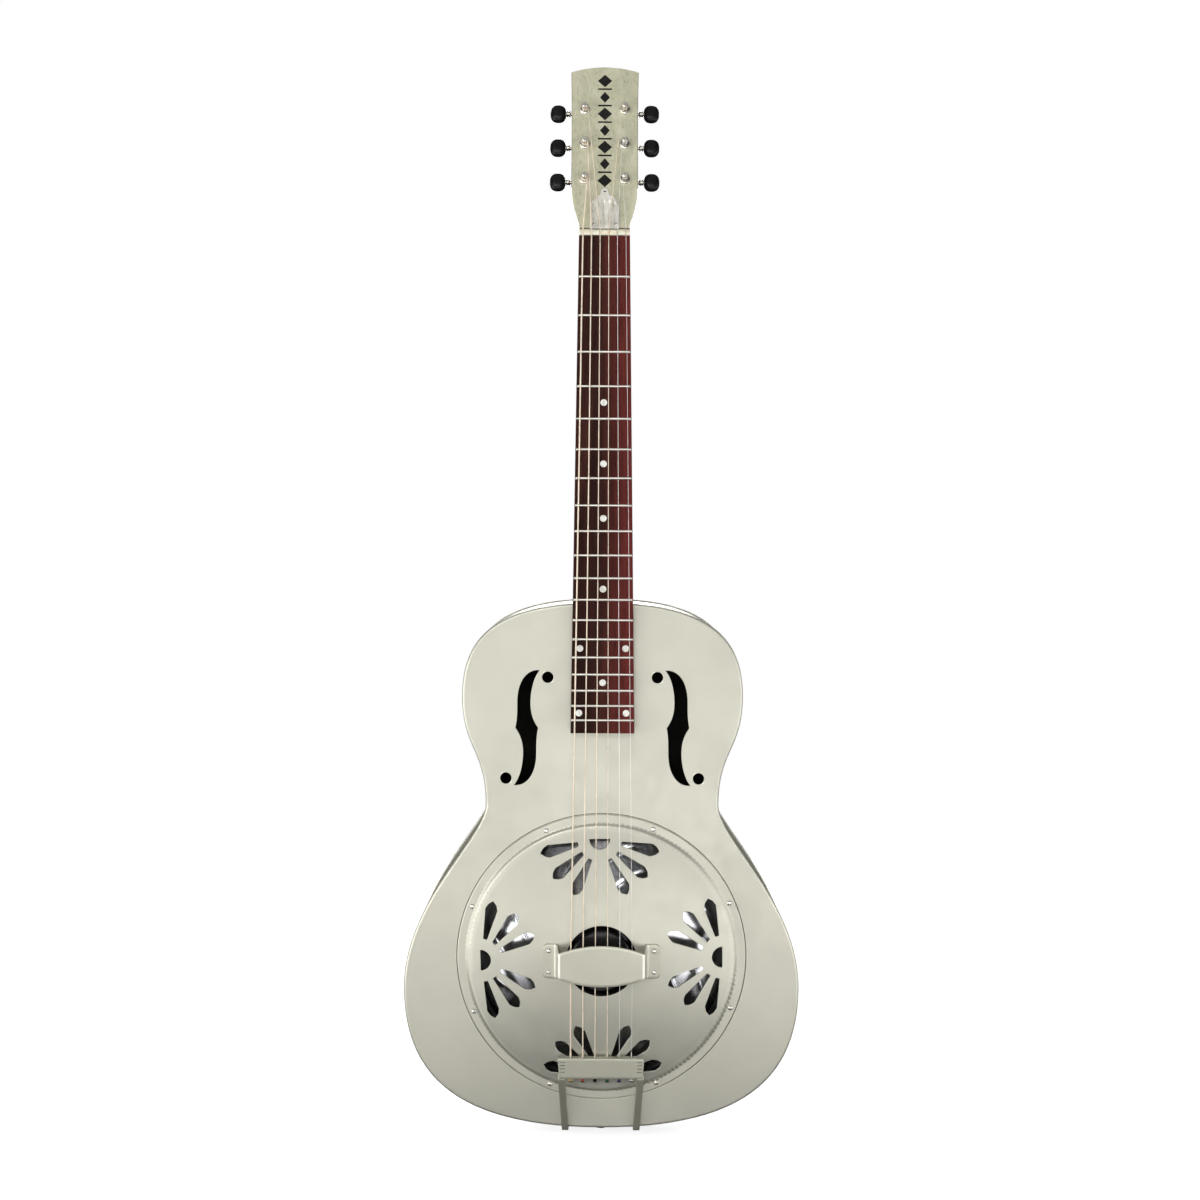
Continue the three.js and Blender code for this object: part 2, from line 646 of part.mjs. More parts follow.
function wormShaft() {
  const edge = HEAD_HALF - POST_X;
  const reach = BUTTON_X - POST_X;
  const profile = [
    [0, -9], [1.6, -9], [1.6, -EAR_X + GAP], [WORM_ROOT_R, -EAR_X + GAP], [WORM_ROOT_R, EAR_X - GAP],
    [1.6, EAR_X - GAP], [1.6, edge + 1.5], [2.6, edge + 2], [2.6, edge + 4.5], [1.6, edge + 5],
    [1.6, reach + 1], [0, reach + 1],
  ];
  return turned(profile, 10);
}

function button() {
  const solid = new THREE.SphereGeometry(1, 14, 8);
  solid.rotateZ(Math.PI / 2).scale(6.7, 3.9, 8);
  const bore = alongX(new THREE.CylinderGeometry(1.6 + GAP, 1.6 + GAP, 9.6 + 2 * GAP, 8));
  return cut(solid, [bore.translate(-3.5 - GAP, 0, 0)]);
}

STRING_RADII.forEach((radius, i) => {
  const side = i < 3 ? -1 : 1;
  const z = POST_Z[i < 3 ? i : 5 - i];
  const frame = headFrame.clone().multiply(shift(side * POST_X, HEAD_THICK, z));
  const shaftFrame = frame.clone().multiply(shift(0, WORM_BACK, WORM_OFFSET));
  const turn = new THREE.Matrix4().makeRotationY(side > 0 ? 0 : Math.PI);
  const name = (piece) => `${piece}_${i + 1}`;
  add(name('tuner_plate'), tunerPlate(), NICKEL, frame);
  add(name('tuner_gear'), gear(), NICKEL, frame);
  add(name('tuner_post'), post(), NICKEL, frame);
  add(name('worm_shaft'), alongX(wormShaft(), side), NICKEL, shaftFrame);
  const knob = button().translate(BUTTON_X - POST_X, 0, 0).applyMatrix4(turn);
  add(name('tuner_button'), knob, BLACK, shaftFrame);
});

// ---- strings ------------------------------------------------------------------------
// A round wire through points, with flat ends. Each ring's frame is carried on from the last.
function wire(points, radius) {
  const sides = 5;
  const across = v3(1, 0, 0);
  const rings = points.map((point, i) => {
    const before = points[Math.max(0, i - 1)];
    const after = points[Math.min(points.length - 1, i + 1)];
    const ahead = after.clone().sub(before).normalize();
    across.addScaledVector(ahead, -ahead.dot(across)).normalize();
    const up = ahead.clone().cross(across);
    return [...Array(sides).keys()].map((k) => {
      const angle = (-2 * Math.PI * k) / sides;
      const arm = across.clone().multiplyScalar(Math.cos(angle) * radius);
      return arm.addScaledVector(up, Math.sin(angle) * radius).add(point);
    });
  });
  return loft(rings);
}

// From the ball end over the saddle and the nut, then twice round the post.
function stringRoute(i) {
  const radius = STRING_RADII[i];
  const side = i < 3 ? -1 : 1;
  const low = stringX(i, SADDLE_SPREAD);
  const high = stringX(i, NUT_SPREAD);
  const crown = SADDLE_HEIGHT - SADDLE_ARCH * (low / SADDLE_HALF) ** 2;
  const seat = -NUT_SLOT - TOUCH - radius;
  const points = [
    v3(low, FACE_Y - TAIL_HEIGHT, TAIL_Z),
    v3(low, FACE_Y - crown - TOUCH - radius, CONE_Z),
    v3(high, seat, 0).applyMatrix4(neckFrame),
    v3(high, seat, NUT_LENGTH).applyMatrix4(neckFrame),
  ];
  const [steps, turns] = [12, 2];
  const winding = POST_WAIST_R + TOUCH + radius;
  const postZ = POST_Z[i < 3 ? i : 5 - i];
  for (let k = 0; k <= steps * turns; k += 1) {
    const angle = (2 * Math.PI * k) / steps;
    const rise = 5.6 - (k / steps) * (2 * radius + TOUCH);
    const x = side * (POST_X - winding * Math.cos(angle));
    points.push(v3(x, -rise, postZ + winding * Math.sin(angle)).applyMatrix4(headFrame));
  }
  return points;
}

STRING_RADII.forEach((radius, i) => {
  add(`string_${i + 1}`, wire(stringRoute(i), radius), i < 4 ? BRONZE : STEEL);
});

export default guitar;
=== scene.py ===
"""Resonator guitar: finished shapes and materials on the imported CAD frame, in millimetres."""
import json
import math

import bmesh
import bpy
import numpy as np
from mathutils import Matrix, Vector
from mathutils.geometry import delaunay_2d_cdt


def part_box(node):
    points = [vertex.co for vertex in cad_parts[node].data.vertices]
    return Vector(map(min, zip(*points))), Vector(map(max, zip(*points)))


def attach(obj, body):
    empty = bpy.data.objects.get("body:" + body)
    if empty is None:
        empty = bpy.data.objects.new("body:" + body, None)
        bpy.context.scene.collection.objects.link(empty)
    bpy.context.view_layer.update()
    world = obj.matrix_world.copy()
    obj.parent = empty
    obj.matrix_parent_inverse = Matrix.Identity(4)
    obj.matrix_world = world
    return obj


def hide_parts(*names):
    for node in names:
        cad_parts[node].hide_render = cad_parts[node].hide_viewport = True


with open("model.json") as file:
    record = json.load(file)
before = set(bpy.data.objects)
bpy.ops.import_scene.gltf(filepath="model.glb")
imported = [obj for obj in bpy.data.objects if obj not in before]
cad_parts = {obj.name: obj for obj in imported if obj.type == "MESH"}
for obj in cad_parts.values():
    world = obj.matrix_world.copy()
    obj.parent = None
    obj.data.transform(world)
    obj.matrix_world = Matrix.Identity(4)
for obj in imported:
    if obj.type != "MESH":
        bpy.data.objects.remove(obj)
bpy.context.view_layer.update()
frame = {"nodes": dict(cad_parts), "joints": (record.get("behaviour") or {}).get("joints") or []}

MM = 0.001


def lowest(node):
    return Vector(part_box(node)[0]) / MM


def highest(node):
    return Vector(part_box(node)[1]) / MM


def shift(x, y, z):
    return Matrix.Translation((x, y, z))


def spin(angle, axis):
    return Matrix.Rotation(angle, 4, axis)


# ---- sizes, from the frame where it holds them ----
SCALE = 635.0
BODY_JOINT = SCALE / 2
SHEET = 1.2
GAP = 0.3
LAID = GAP + SHEET  # how far the outer face of a sheet stands above the part it lies on
FACE_Y = lowest("top_plate").y
BACK_Y = highest("back_plate").y
BODY_TOP_Z = highest("top_plate").z
BODY_END_Z = lowest("top_plate").z
UPPER_BOUT = (124.5, -404.0)
WAIST = (103.5, -500.0)
LOWER_BOUT = (highest("top_plate").x, -666.0)
RIM = 2.6  # radius of the rolled edge where the top and back meet the side
RIM_DEPTH = 6.0
PLATE = 1.1
F_HOLE = (67.0, -431.5)
SMALL_HOLES = ((48.5, -386.5), (85.5, -476.5))
SMALL_HOLE_R = 5.0

CONE_Z = (lowest("cone").z + highest("cone").z) / 2
COVER_R = highest("cover_plate").x
COVER_SCREW_R = 124.0  # of the circle that the cover's screws stand on
COVER_GROOVE_R = COVER_R + 0.7
DOME_R = 120.0
DOME_HEIGHT = 13.0
DOME_FOOT = 3.6
COVER_HOLE_R = 31.5
COVER_TURN = math.radians(1)
FAN_REACH = 107.5
FAN_SPREADS = (-77, -51, -26, 26, 51, 77)
MOON_R = 9.2
WELL_R = 120.5
REST_DECK = 29.2
REST_HALF = 36.2
REST_END = 51.5
REST_CORNER = 4.0

HEAD_TILT = math.radians(12)
AXIS = {joint["name"]: joint for joint in frame["joints"]}
POST_AXIS = Vector(AXIS["post_1_turn"]["axis"])
NECK_SET = math.atan2(-POST_AXIS.z, POST_AXIS.y) - HEAD_TILT
BOARD_LIFT = 9.0
NUT_Y = FACE_Y - BOARD_LIFT + BODY_JOINT * math.sin(NECK_SET)
NUT_WIDTH = 44.5
NUT_LENGTH = 4.8
NUT_TOP = 2.6
NUT_SLOT = 1.3
BOARD_END_WIDTH = 56.0
BOARD_LENGTH = 434.5
BOARD_THICK = 6.0
UNDER_BOARD = BOARD_THICK + GAP
HEAD_DROP = 2.0
HEAD_LENGTH = 158.0
HEAD_ARCH = 5.0
HEAD_HALF = 29.5
HEAD_THICK = 15.0
HEAD_ROOT = 16.0  # height above the nut where the head's full section starts
NECK_END = 321.0
VENEER = 1.0
UNDER_VENEER = VENEER + GAP
INLAY_PITCH = 16.1
FRETS = 19
DOTS = {5: (0,), 7: (0,), 9: (0,), 12: (0,), 15: (-20, 20), 17: (0,), 19: (-20.7, 20.7)}

STRING_RADII = (0.67, 0.53, 0.41, 0.31, 0.22, 0.17)
NUT_SPREAD = 37.5
SADDLE_SPREAD = 54.0
SADDLE_HEIGHT = 24.5
SADDLE_ARCH = 0.8
SADDLE_HALF = 29.0
TAIL_Z = -743.8
TAIL_HEIGHT = 11.0
TOUCH = 0.15  # a string's distance from what it rests on
COIL_RISE = 5.6

POST_X = 17.8
POST_Z = (54.0, 87.5, 121.0)
POST_RISE = 9.0
BORE_R = 4.4  # of the holes in the head that the bushings stand in
POST_WAIST_R = 2.0
GEAR_TEETH = 15
GEAR_MODULE = 0.62
GEAR_R = GEAR_TEETH * GEAR_MODULE / 2
GEAR_BORE_R = 1.85
GEAR_FACES = (3.5, 7.5)
WORM_OFFSET = 7.5
WORM_BACK = 5.5
WORM_R = WORM_OFFSET - GEAR_R
EAR_X = 6.0
BUTTON_X = 42.0

NECK = shift(0, NUT_Y, 0) @ spin(-NECK_SET, "X")
HEAD = NECK @ shift(0, HEAD_DROP, 0) @ spin(-HEAD_TILT, "X")
CONE = shift(0, FACE_Y, CONE_Z)


# ---- materials ----
class Tree:
    """A node tree. Each method adds a node and returns its output."""

    def __init__(self, tree):
        self.tree = tree

    def node(self, kind, output, values=None, **settings):
        made = self.tree.nodes.new(kind)
        for key, value in settings.items():
            setattr(made, key, value)
        for key, value in (values or {}).items():
            if isinstance(value, bpy.types.NodeSocket):
                self.tree.links.new(value, made.inputs[key])
            else:
                made.inputs[key].default_value = value
        return made.outputs[output]

    def span(self, value, low, high, to_low, to_high):
        values = {0: value, 1: low, 2: high, 3: to_low, 4: to_high}
        return self.node("ShaderNodeMapRange", 0, values, clamp=True)


class Look(Tree):
    """A material's node tree."""

    def __init__(self, name, **shader):
        self.material = bpy.data.materials.new(name)
        self.material.use_nodes = True
        super().__init__(self.material.node_tree)
        self.shader = self.tree.nodes["Principled BSDF"]
        for key, value in shader.items():
            self.shader.inputs[key.replace("_", " ")].default_value = value
        self.here = self.node("ShaderNodeTexCoord", "Object")

    def math(self, operation, a, b=0.0):
        return self.node("ShaderNodeMath", 0, {0: a, 1: b}, operation=operation)

    def stretch(self, scale):
        return self.node("ShaderNodeMapping", "Vector", {"Vector": self.here, "Scale": scale})

    def along_x(self):
        return self.node("ShaderNodeSeparateXYZ", "X", {"Vector": self.here})

    def noise(self, scale, detail=3.0, rough=0.5, twist=0.0, place=None):
        values = {"Vector": place or self.here, "Scale": scale, "Detail": detail}
        values.update({"Roughness": rough, "Distortion": twist})
        return self.node("ShaderNodeTexNoise", 0, values)

    def ramp(self, factor, *stops):
        output = self.node("ShaderNodeValToRGB", "Color", {"Fac": factor})
        elements = output.node.color_ramp.elements
        while len(elements) < len(stops):
            elements.new(0.5)
        for element, (place, colour) in zip(elements, stops):
            element.position = place
            element.color = (*colour, 1)
        return output

    def mix(self, factor, a, b):
        """Mixes a with b, which are outputs or plain colours."""
        a, b = (c if isinstance(c, bpy.types.NodeSocket) else (*c, 1) for c in (a, b))
        return self.node("ShaderNodeMix", 2, {0: factor, 6: a, 7: b}, data_type="RGBA")

    def across(self, centre_x, centre_z):
        """Distance from a line along y, in metres."""
        kind = "ShaderNodeVectorMath"
        centre = (-centre_x * MM, 0, -centre_z * MM)
        moved = self.node(kind, 0, {0: self.here, 1: centre}, operation="ADD")
        flat = self.node(kind, 0, {0: moved, 1: (1, 0, 1)}, operation="MULTIPLY")
        return self.node(kind, "Value", {0: flat}, operation="LENGTH")

    def pointy(self):
        return self.node("ShaderNodeNewGeometry", "Pointiness")

    def bump(self, height, distance, strength=1.0, under=None):
        values = {"Height": height, "Distance": distance, "Strength": strength}
        if under:
            values["Normal"] = under
        return self.node("ShaderNodeBump", "Normal", values)

    def done(self, colour, rough, normal=None):
        """Wires up the shader and returns the material."""
        self.tree.links.new(colour, self.shader.inputs["Base Color"])
        self.tree.links.new(rough, self.shader.inputs["Roughness"])
        if normal:
            self.tree.links.new(normal, self.shader.inputs["Normal"])
        return self.material


def grey(value):
    return (value, value, value)


def scaled(tone, factor, most=1.0):
    return tuple(min(most, factor * c) for c in tone)


def body_paint(name, tone, wear_and_sheen=0.8, fold_highlights=()):
    """Satin metallic paint: faint mottling, a fine grain and a painted highlight on the rounded
    edges, which are drawn lighter where pointiness is high.

    The fold distances are from the centre line, in metres; along each a bright line is painted as
    the bend's highlight.
    """
    look = Look(name, Metallic=0.55, Coat_Weight=0.12, Coat_Roughness=0.3)
    cloud = look.noise(9, 4, 0.6)
    grain = look.noise(1400, 2)
    colour = look.ramp(cloud, (0.3, scaled(tone, 0.93)), (0.72, scaled(tone, 1.06)))
    # painted highlight: rounded edges, where pointiness is high, are drawn a light cream
    if wear_and_sheen:
        edge_highlight = look.span(look.pointy(), 0.51, 0.56, 0, wear_and_sheen)
        colour = look.mix(edge_highlight, colour, scaled(tone, 1.55, 0.92))
    # painted highlight: a bright band along each fold line
    for fold in fold_highlights:
        off = look.math("SUBTRACT", look.math("ABSOLUTE", look.along_x()), fold)
        fold_highlight_mask = look.span(look.math("ABSOLUTE", off), 0.0004, 0.0013, 0.85, 0)
        colour = look.mix(fold_highlight_mask, colour, (0.95, 0.94, 0.86))
    rough = look.span(look.noise(60, 4, 0.6), 0.3, 0.7, 0.36, 0.46)
    bump = look.bump(look.noise(5, 2), 0.0012, 0.12)
    bump = look.bump(grain, 0.00004, 0.35, bump)
    return look.done(colour, rough, bump)


def nickel(name, tone=(0.74, 0.71, 0.66), rough=0.2, metal=1.0):
    """Polished plating with faint wiping marks and dulling."""
    look = Look(name, Metallic=metal)
    smear = look.noise(120, 5, 0.65, 0.8)
    colour = look.ramp(smear, (0.25, scaled(tone, 0.86)), (0.8, tone))
    roughness = look.span(smear, 0.3, 0.75, rough * 0.8, rough * 1.6)
    bump = look.bump(look.noise(900, 2), 0.00002, 0.3)
    return look.done(colour, roughness, bump)


def spun_aluminium():
    """Spun sheet: fine rings about the cone's axis, cloudy haze, streaks along its slope and
    painted shade about its middle.
    """
    look = Look("spun_aluminium_sheet", Metallic=1.0)
    radius = look.across(0, CONE_Z)
    outwards = look.node("ShaderNodeCombineXYZ", 0, {0: look.math("MULTIPLY", radius, 2600.0)})
    rings = look.noise(1.0, 3, 0.7, 0, outwards)
    haze = look.noise(22, 3, 0.5, 1.2)
    colour = look.ramp(haze, (0.36, (0.42, 0.42, 0.44)), (0.62, (0.66, 0.67, 0.7)))
    # painted shade: drawn near black within 31 mm of the axis, fading out by 36 mm, round the
    # biscuit
    colour = look.mix(look.span(radius, 0.031, 0.036, 1, 0), colour, grey(0.02))
    rough = look.span(rings, 0.3, 0.7, 0.13, 0.24)
    bump = look.bump(rings, 0.00006, 0.2)
    return look.done(colour, rough, bump)


def timber(name, dark, mid, light, rough, grain=1.0, gloss=0.0, pores=0.5, warm=None,
           shine=0.15):
    """Wood with its grain along z: streaks, finer figure and open pores.

    warm is the colour of the board's treble side, where the growth rings run lighter.
    """
    look = Look(name, Coat_Weight=gloss, Coat_Roughness=0.12, Specular_IOR_Level=shine)
    broad = look.noise(38 * grain, 5, 0.6, 0.6, look.stretch((1, 1, 0.06)))
    fine = look.noise(420 * grain, 4, 0.7, 0.2, look.stretch((1, 1, 0.03)))
    pore = look.noise(1500 * grain, 2, 0.5, 0, look.stretch((1, 1, 0.035)))
    colour = look.ramp(broad, (0.3, dark), (0.52, mid), (0.74, light))
    if warm:
        side = look.math("ADD", look.along_x(), look.math("MULTIPLY", broad, 0.02))
        colour = look.mix(look.span(side, 0.008, 0.03, 0, 0.8), colour, warm)
    colour = look.mix(look.span(fine, 0.45, 0.7, 0, 0.55), colour, dark)
    holes = look.span(pore, 0.6, 0.72, 0, 1)
    colour = look.mix(look.math("MULTIPLY", holes, pores), colour, scaled(dark, 0.35))
    roughness = look.span(fine, 0.3, 0.7, rough, rough + 0.14)
    bump = look.bump(holes, 0.00012, -0.4, look.bump(fine, 0.00006, 0.4))
    return look.done(colour, roughness, bump)


def pearl(name, base, shade, glow, scale=1.0):
    """Cast pearl sheet: folded silky swirls under a clear gloss."""
    look = Look(name, Coat_Weight=0.7, Coat_Roughness=0.08, Metallic=0.12)
    fold = look.noise(34 * scale, 3, 0.55, 2.4, look.stretch((1, 1, 0.55)))
    silk = look.noise(120 * scale, 4, 0.6, 3.5, look.stretch((1, 1, 0.5)))
    colour = look.ramp(fold, (0.34, shade), (0.5, base), (0.66, glow))
    colour = look.mix(look.span(silk, 0.42, 0.68, 0, 0.4), colour, glow)
    rough = look.span(silk, 0.3, 0.7, 0.22, 0.42)
    bump = look.bump(silk, 0.00003, 0.3)
    return look.done(colour, rough, bump)


def plastic(name, tone, rough=0.12, wear_and_sheen=0.5):
    """Moulded plastic with a soft orange peel and hairline scuffs."""
    look = Look(name, Specular_IOR_Level=0.2)
    scuff = look.noise(220, 6, 0.75, 1.5)
    colour = look.ramp(scuff, (0.35, tone), (0.85, tuple(c + 0.03 * wear_and_sheen for c in tone)))
    roughness = look.span(scuff, 0.4, 0.75, rough, rough + 0.15 * wear_and_sheen)
    bump = look.bump(look.noise(500, 2), 0.00002, 0.25)
    return look.done(colour, roughness, bump)


def bone():
    """Polished bone: faint streaks and tiny pores."""
    look = Look("polished_bone", Subsurface_Weight=0.15, Subsurface_Scale=0.002)
    streak = look.noise(200, 4, 0.6, 0.4, look.stretch((0.2, 1, 1)))
    colour = look.ramp(streak, (0.3, (0.66, 0.6, 0.44)), (0.7, (0.86, 0.82, 0.68)))
    rough = look.span(streak, 0.3, 0.7, 0.25, 0.38)
    return look.done(colour, rough, look.bump(streak, 0.00004, 0.3))


def wound(name, tone, pitch):
    """Round-wound wire: the wrap's turns follow the string's length, which runs close to z."""
    look = Look(name, Metallic=0.25)
    turns = look.node(
        "ShaderNodeTexWave", "Fac",
        {"Vector": look.here, "Scale": 2 * math.pi / 20 / (pitch * MM), "Distortion": 0.0},
        wave_type="BANDS", bands_direction="Z",
    )
    tarnish = look.noise(90, 4, 0.6)
    colour = look.ramp(tarnish, (0.3, scaled(tone, 0.75)), (0.7, tone))
    rough = look.span(tarnish, 0.3, 0.7, 0.25, 0.4)
    return look.done(colour, rough, look.bump(turns, 0.0001, 0.35))


PAINT = body_paint("satin_body_paint", (0.56, 0.55, 0.465))
# painted shade: the body paint made a little darker and without its edge highlight, for the side
# band and the back
SHADED_SIDE_PAINT = body_paint("satin_side_paint_darkened_as_shade", (0.52, 0.51, 0.43), wear_and_sheen=0)
# the hand rest's paint, with painted highlights along its folds
REST_PAINT = body_paint("hand_rest_paint", (0.54, 0.53, 0.44), fold_highlights=(0.0369, 0.0405))
FITTING_PAINT = body_paint("satin_fitting_paint", (0.45, 0.445, 0.36), wear_and_sheen=0)
NICKEL = nickel("polished_nickel")
POST_NICKEL = nickel("clouded_nickel", (0.8, 0.77, 0.68), 0.27, 0.8)
FRET_WIRE = nickel("fret_wire", (0.9, 0.87, 0.8), 0.34)
STEEL = nickel("plain_steel", (0.95, 0.94, 0.92), 0.34, 0.4)
ALUMINIUM = spun_aluminium()
BRONZE = wound("bronze_winding", (1.0, 0.86, 0.68), 0.35)
ROSEWOOD = timber("rosewood", (0.014, 0.006, 0.005), (0.042, 0.014, 0.011), (0.082, 0.027, 0.02),
                  0.42, warm=(0.16, 0.03, 0.026), shine=0.03)
MAHOGANY = timber("stained_mahogany", (0.05, 0.016, 0.01), (0.12, 0.038, 0.02),
                  (0.2, 0.066, 0.034), 0.28, 0.8, 0.5, 0.3)
MAPLE = timber("bare_maple", (0.42, 0.26, 0.12), (0.6, 0.42, 0.22), (0.72, 0.54, 0.32), 0.5, 0.7)
EBONISED = timber("ebonised_wood", (0.004, 0.004, 0.004), (0.012, 0.011, 0.011),
                  (0.025, 0.022, 0.024), 0.3, 1.0, 0.3)
PEARL = pearl("pearl_sheet", (0.56, 0.55, 0.385), (0.49, 0.485, 0.35), (0.65, 0.635, 0.48))
PEARL_COVER = pearl("pearl_cover_sheet", (0.66, 0.64, 0.56), (0.5, 0.49, 0.43),
                    (0.84, 0.81, 0.75), 1.6)
PEARL_DOT = pearl("pearl_dot", (0.78, 0.77, 0.7), (0.6, 0.6, 0.55), (0.9, 0.9, 0.86), 5.0)
INLAY = plastic("dark_inlay", (0.012, 0.012, 0.011), 0.2)
BUTTON = plastic("black_plastic", (0.004, 0.004, 0.0045), 0.3)
BONE = bone()
# bare metal drawn near black: painted shade inside the body, in the well ring and in the cover's
# groove
BARE_STEEL_IN_SHADE = nickel("bare_steel_inside_painted_shade", (0.05, 0.048, 0.045), 0.5)


# ---- mesh making ----
SHARP = 32  # degrees between two faces, from which their edge isn't smoothed


def loaded(verts, faces):
    """A bmesh of vertices and faces."""
    mesh = bmesh.new()
    grid = [mesh.verts.new(v) for v in verts]
    for face in faces:
        mesh.faces.new([grid[i] for i in face])
    return mesh


def placed(name, mesh):
    """Turns a bmesh into an object in the scene."""
    data = bpy.data.meshes.new(name)
    mesh.to_mesh(data)
    mesh.free()
    made = bpy.data.objects.new(name, data)
    bpy.context.scene.collection.objects.link(made)
    return made


def piece(name, verts, faces, material, body="guitar", slot=None, nodes=(), place=None,
          sharp=SHARP, bevel=0.0):
    """Makes one object from millimetres in the frame given by place, and hangs it on a body."""
    mesh = loaded(verts, faces)
    bmesh.ops.remove_doubles(mesh, verts=mesh.verts, dist=0.0005)
    bmesh.ops.recalc_face_normals(mesh, faces=mesh.faces)
    limit = math.radians(sharp)
    if bevel:
        edges = [e for e in mesh.edges if e.calc_face_angle(0) > limit]
        bmesh.ops.bevel(mesh, geom=edges, offset=bevel, segments=2, profile=0.5,
                        affect="EDGES", clamp_overlap=True)
    mesh.transform(Matrix.Scale(MM, 4) @ (place or Matrix()))
    for face in mesh.faces:
        face.smooth = True
    for edge in mesh.edges:
        edge.smooth = edge.calc_face_angle(0) < limit
    made = placed(name, mesh)
    made.data.materials.append(material)
    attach(made, body)
    if nodes:
        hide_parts(*nodes)
    return made


def strips(rings, wrap=False):
    """Faces between rings of vertex numbers, which close on an axis where numbers repeat."""
    faces = []
    for a, b in zip(rings, rings[1:] + rings[:1] if wrap else rings[1:]):
        for k in range(len(a)):
            j = (k + 1) % len(a)
            face = tuple(dict.fromkeys((a[k], a[j], b[j], b[k])))
            if len(face) > 2:
                faces.append(face)
    return faces


def skin(rings, wrap=False, caps=True):
    """Quads over rings of equal length. wrap joins the last ring to the first."""
    n = len(rings[0])
    verts = [p for ring in rings for p in ring]
    numbers = [tuple(range(r * n, (r + 1) * n)) for r in range(len(rings))]
    faces = strips(numbers, wrap)
    if caps and not wrap:
        faces += [numbers[0][::-1], numbers[-1]]
    return verts, faces


def around(steps, start=0.0):
    """Angles once around a circle."""
    return [start + 2 * math.pi * k / steps for k in range(steps)]


def turned(profile, segments, wave=None):
    """Turns (radius, y) pairs about the y axis; a radius of 0 closes on the axis.

    wave(radius, angle) is added to y.
    """
    verts, rings = [], []
    for radius, y in profile:
        if radius < 1e-6:
            rings.append([len(verts)] * segments)
            verts.append(Vector((0, y, 0)))
            continue
        rings.append(list(range(len(verts), len(verts) + segments)))
        for a in around(segments):
            lift = wave(radius, a) if wave else 0
            verts.append(Vector((radius * math.cos(a), y + lift, radius * math.sin(a))))
    return verts, strips(rings, wrap=profile[0][0] > 1e-6)


def tube(points, radius, sides):
    """A round wire through 3D points, its frame carried along."""
    across = Vector((1, 0, 0))
    rings = []
    for i, point in enumerate(points):
        ahead = (points[min(i + 1, len(points) - 1)] - points[max(i - 1, 0)]).normalized()
        across = (across - ahead * across.dot(ahead)).normalized()
        up = ahead.cross(across)
        rings.append([point + (across * math.cos(a) + up * math.sin(a)) * radius
                      for a in around(sides)])
    return skin(rings)


def round_box(low, high):
    """The eight corners and six faces of a box."""
    verts = [Vector((x, y, z)) for x in (low[0], high[0]) for y in (low[1], high[1])
             for z in (low[2], high[2])]
    faces = [(0, 1, 3, 2), (4, 6, 7, 5), (0, 4, 5, 1), (2, 3, 7, 6), (0, 2, 6, 4), (1, 5, 7, 3)]
    return verts, faces


def merged(*parts):
    """Several (verts, faces) as one."""
    verts, faces = [], []
    for more, quads in parts:
        start = len(verts)
        verts += more
        faces += [tuple(i + start for i in face) for face in quads]
    return verts, faces


def carve(made, *cutters):
    """Cuts closed (verts, faces, place) solids out of a finished object, one after another."""
    for solid, quads, place in cutters:
        shape = loaded([MM * (place @ Vector(v)) for v in solid], quads)
        bmesh.ops.recalc_face_normals(shape, faces=shape.faces)
        tool = placed("cutter", shape)
        modifier = made.modifiers.new("carve", "BOOLEAN")
        modifier.object = tool
        modifier.operation = "DIFFERENCE"
        modifier.solver = "EXACT"
        seen = made.evaluated_get(bpy.context.evaluated_depsgraph_get())
        made.data = bpy.data.meshes.new_from_object(seen)
        made.modifiers.clear()
        bpy.data.objects.remove(tool)
    crease(made)
    return made


def crease(made):
    """Marks a carved object's edges again as sharp or smooth."""
    shape = bmesh.new()
    shape.from_mesh(made.data)
    for edge in shape.edges:
        edge.smooth = edge.calc_face_angle(0) < math.radians(SHARP)
    shape.to_mesh(made.data)
    shape.free()


# ---- outlines ----
def cubic(p0, p1, p2, p3, steps):
    """Points of a cubic curve, without the last."""
    found = []
    for k in range(steps):
        t = k / steps
        u = 1 - t
        terms = ((u ** 3, p0), (3 * u * u * t, p1), (3 * u * t * t, p2), (t ** 3, p3))
        found.append(sum((weight * Vector(p) for weight, p in terms), Vector((0, 0))))
    return found


def quadratic(p0, p1, p2, steps):
    a, b, c = Vector(p0), Vector(p1), Vector(p2)
    return cubic(a, a.lerp(b, 2 / 3), c.lerp(b, 2 / 3), c, steps)


def circle(x, z, radius, steps, start=0.0):
    return [Vector((x + radius * math.cos(a), z + radius * math.sin(a)))
            for a in around(steps, start)]


def mirrored(right):
    """Closes a half outline, drawn from the top centre to the bottom centre, into a loop."""
    left = [Vector((-p.x, p.y)) for p in reversed(right[1:-1])]
    return anticlockwise(right + left)


def anticlockwise(loop):
    area = sum(a.x * b.y - b.x * a.y for a, b in zip(loop, loop[1:] + loop[:1]))
    return loop if area > 0 else loop[::-1]


def grown(loop, distance):
    """An anticlockwise loop moved outwards by a distance."""
    moved = []
    n = len(loop)
    for i, point in enumerate(loop):
        before = (point - loop[i - 1]).normalized()
        after = (loop[(i + 1) % n] - point).normalized()
        across = Vector((before.y + after.y, -before.x - after.x))
        across.normalize()
        lean = max(0.6, across.dot(Vector((after.y, -after.x))))
        moved.append(point + across * distance / lean)
    return moved


def bend(before, corner, after, radius, steps, share):
    """A corner rounded from radius before it, or a share of a side that is too short for that."""
    back = Vector(before) - Vector(corner)
    on = Vector(after) - Vector(corner)
    reach = min(radius, back.length * share, on.length * share)
    start = Vector(corner) + back.normalized() * reach
    end = Vector(corner) + on.normalized() * reach
    return quadratic(start, corner, end, steps) + [end]


def rounded(corners, radius, steps):
    """A polygon with its corners rounded."""
    loop = []
    for before, corner, after in zip(corners[-1:] + corners, corners, corners[1:] + corners[:1]):
        loop += bend(before, corner, after, radius, steps, 0.45)
    return anticlockwise(loop)


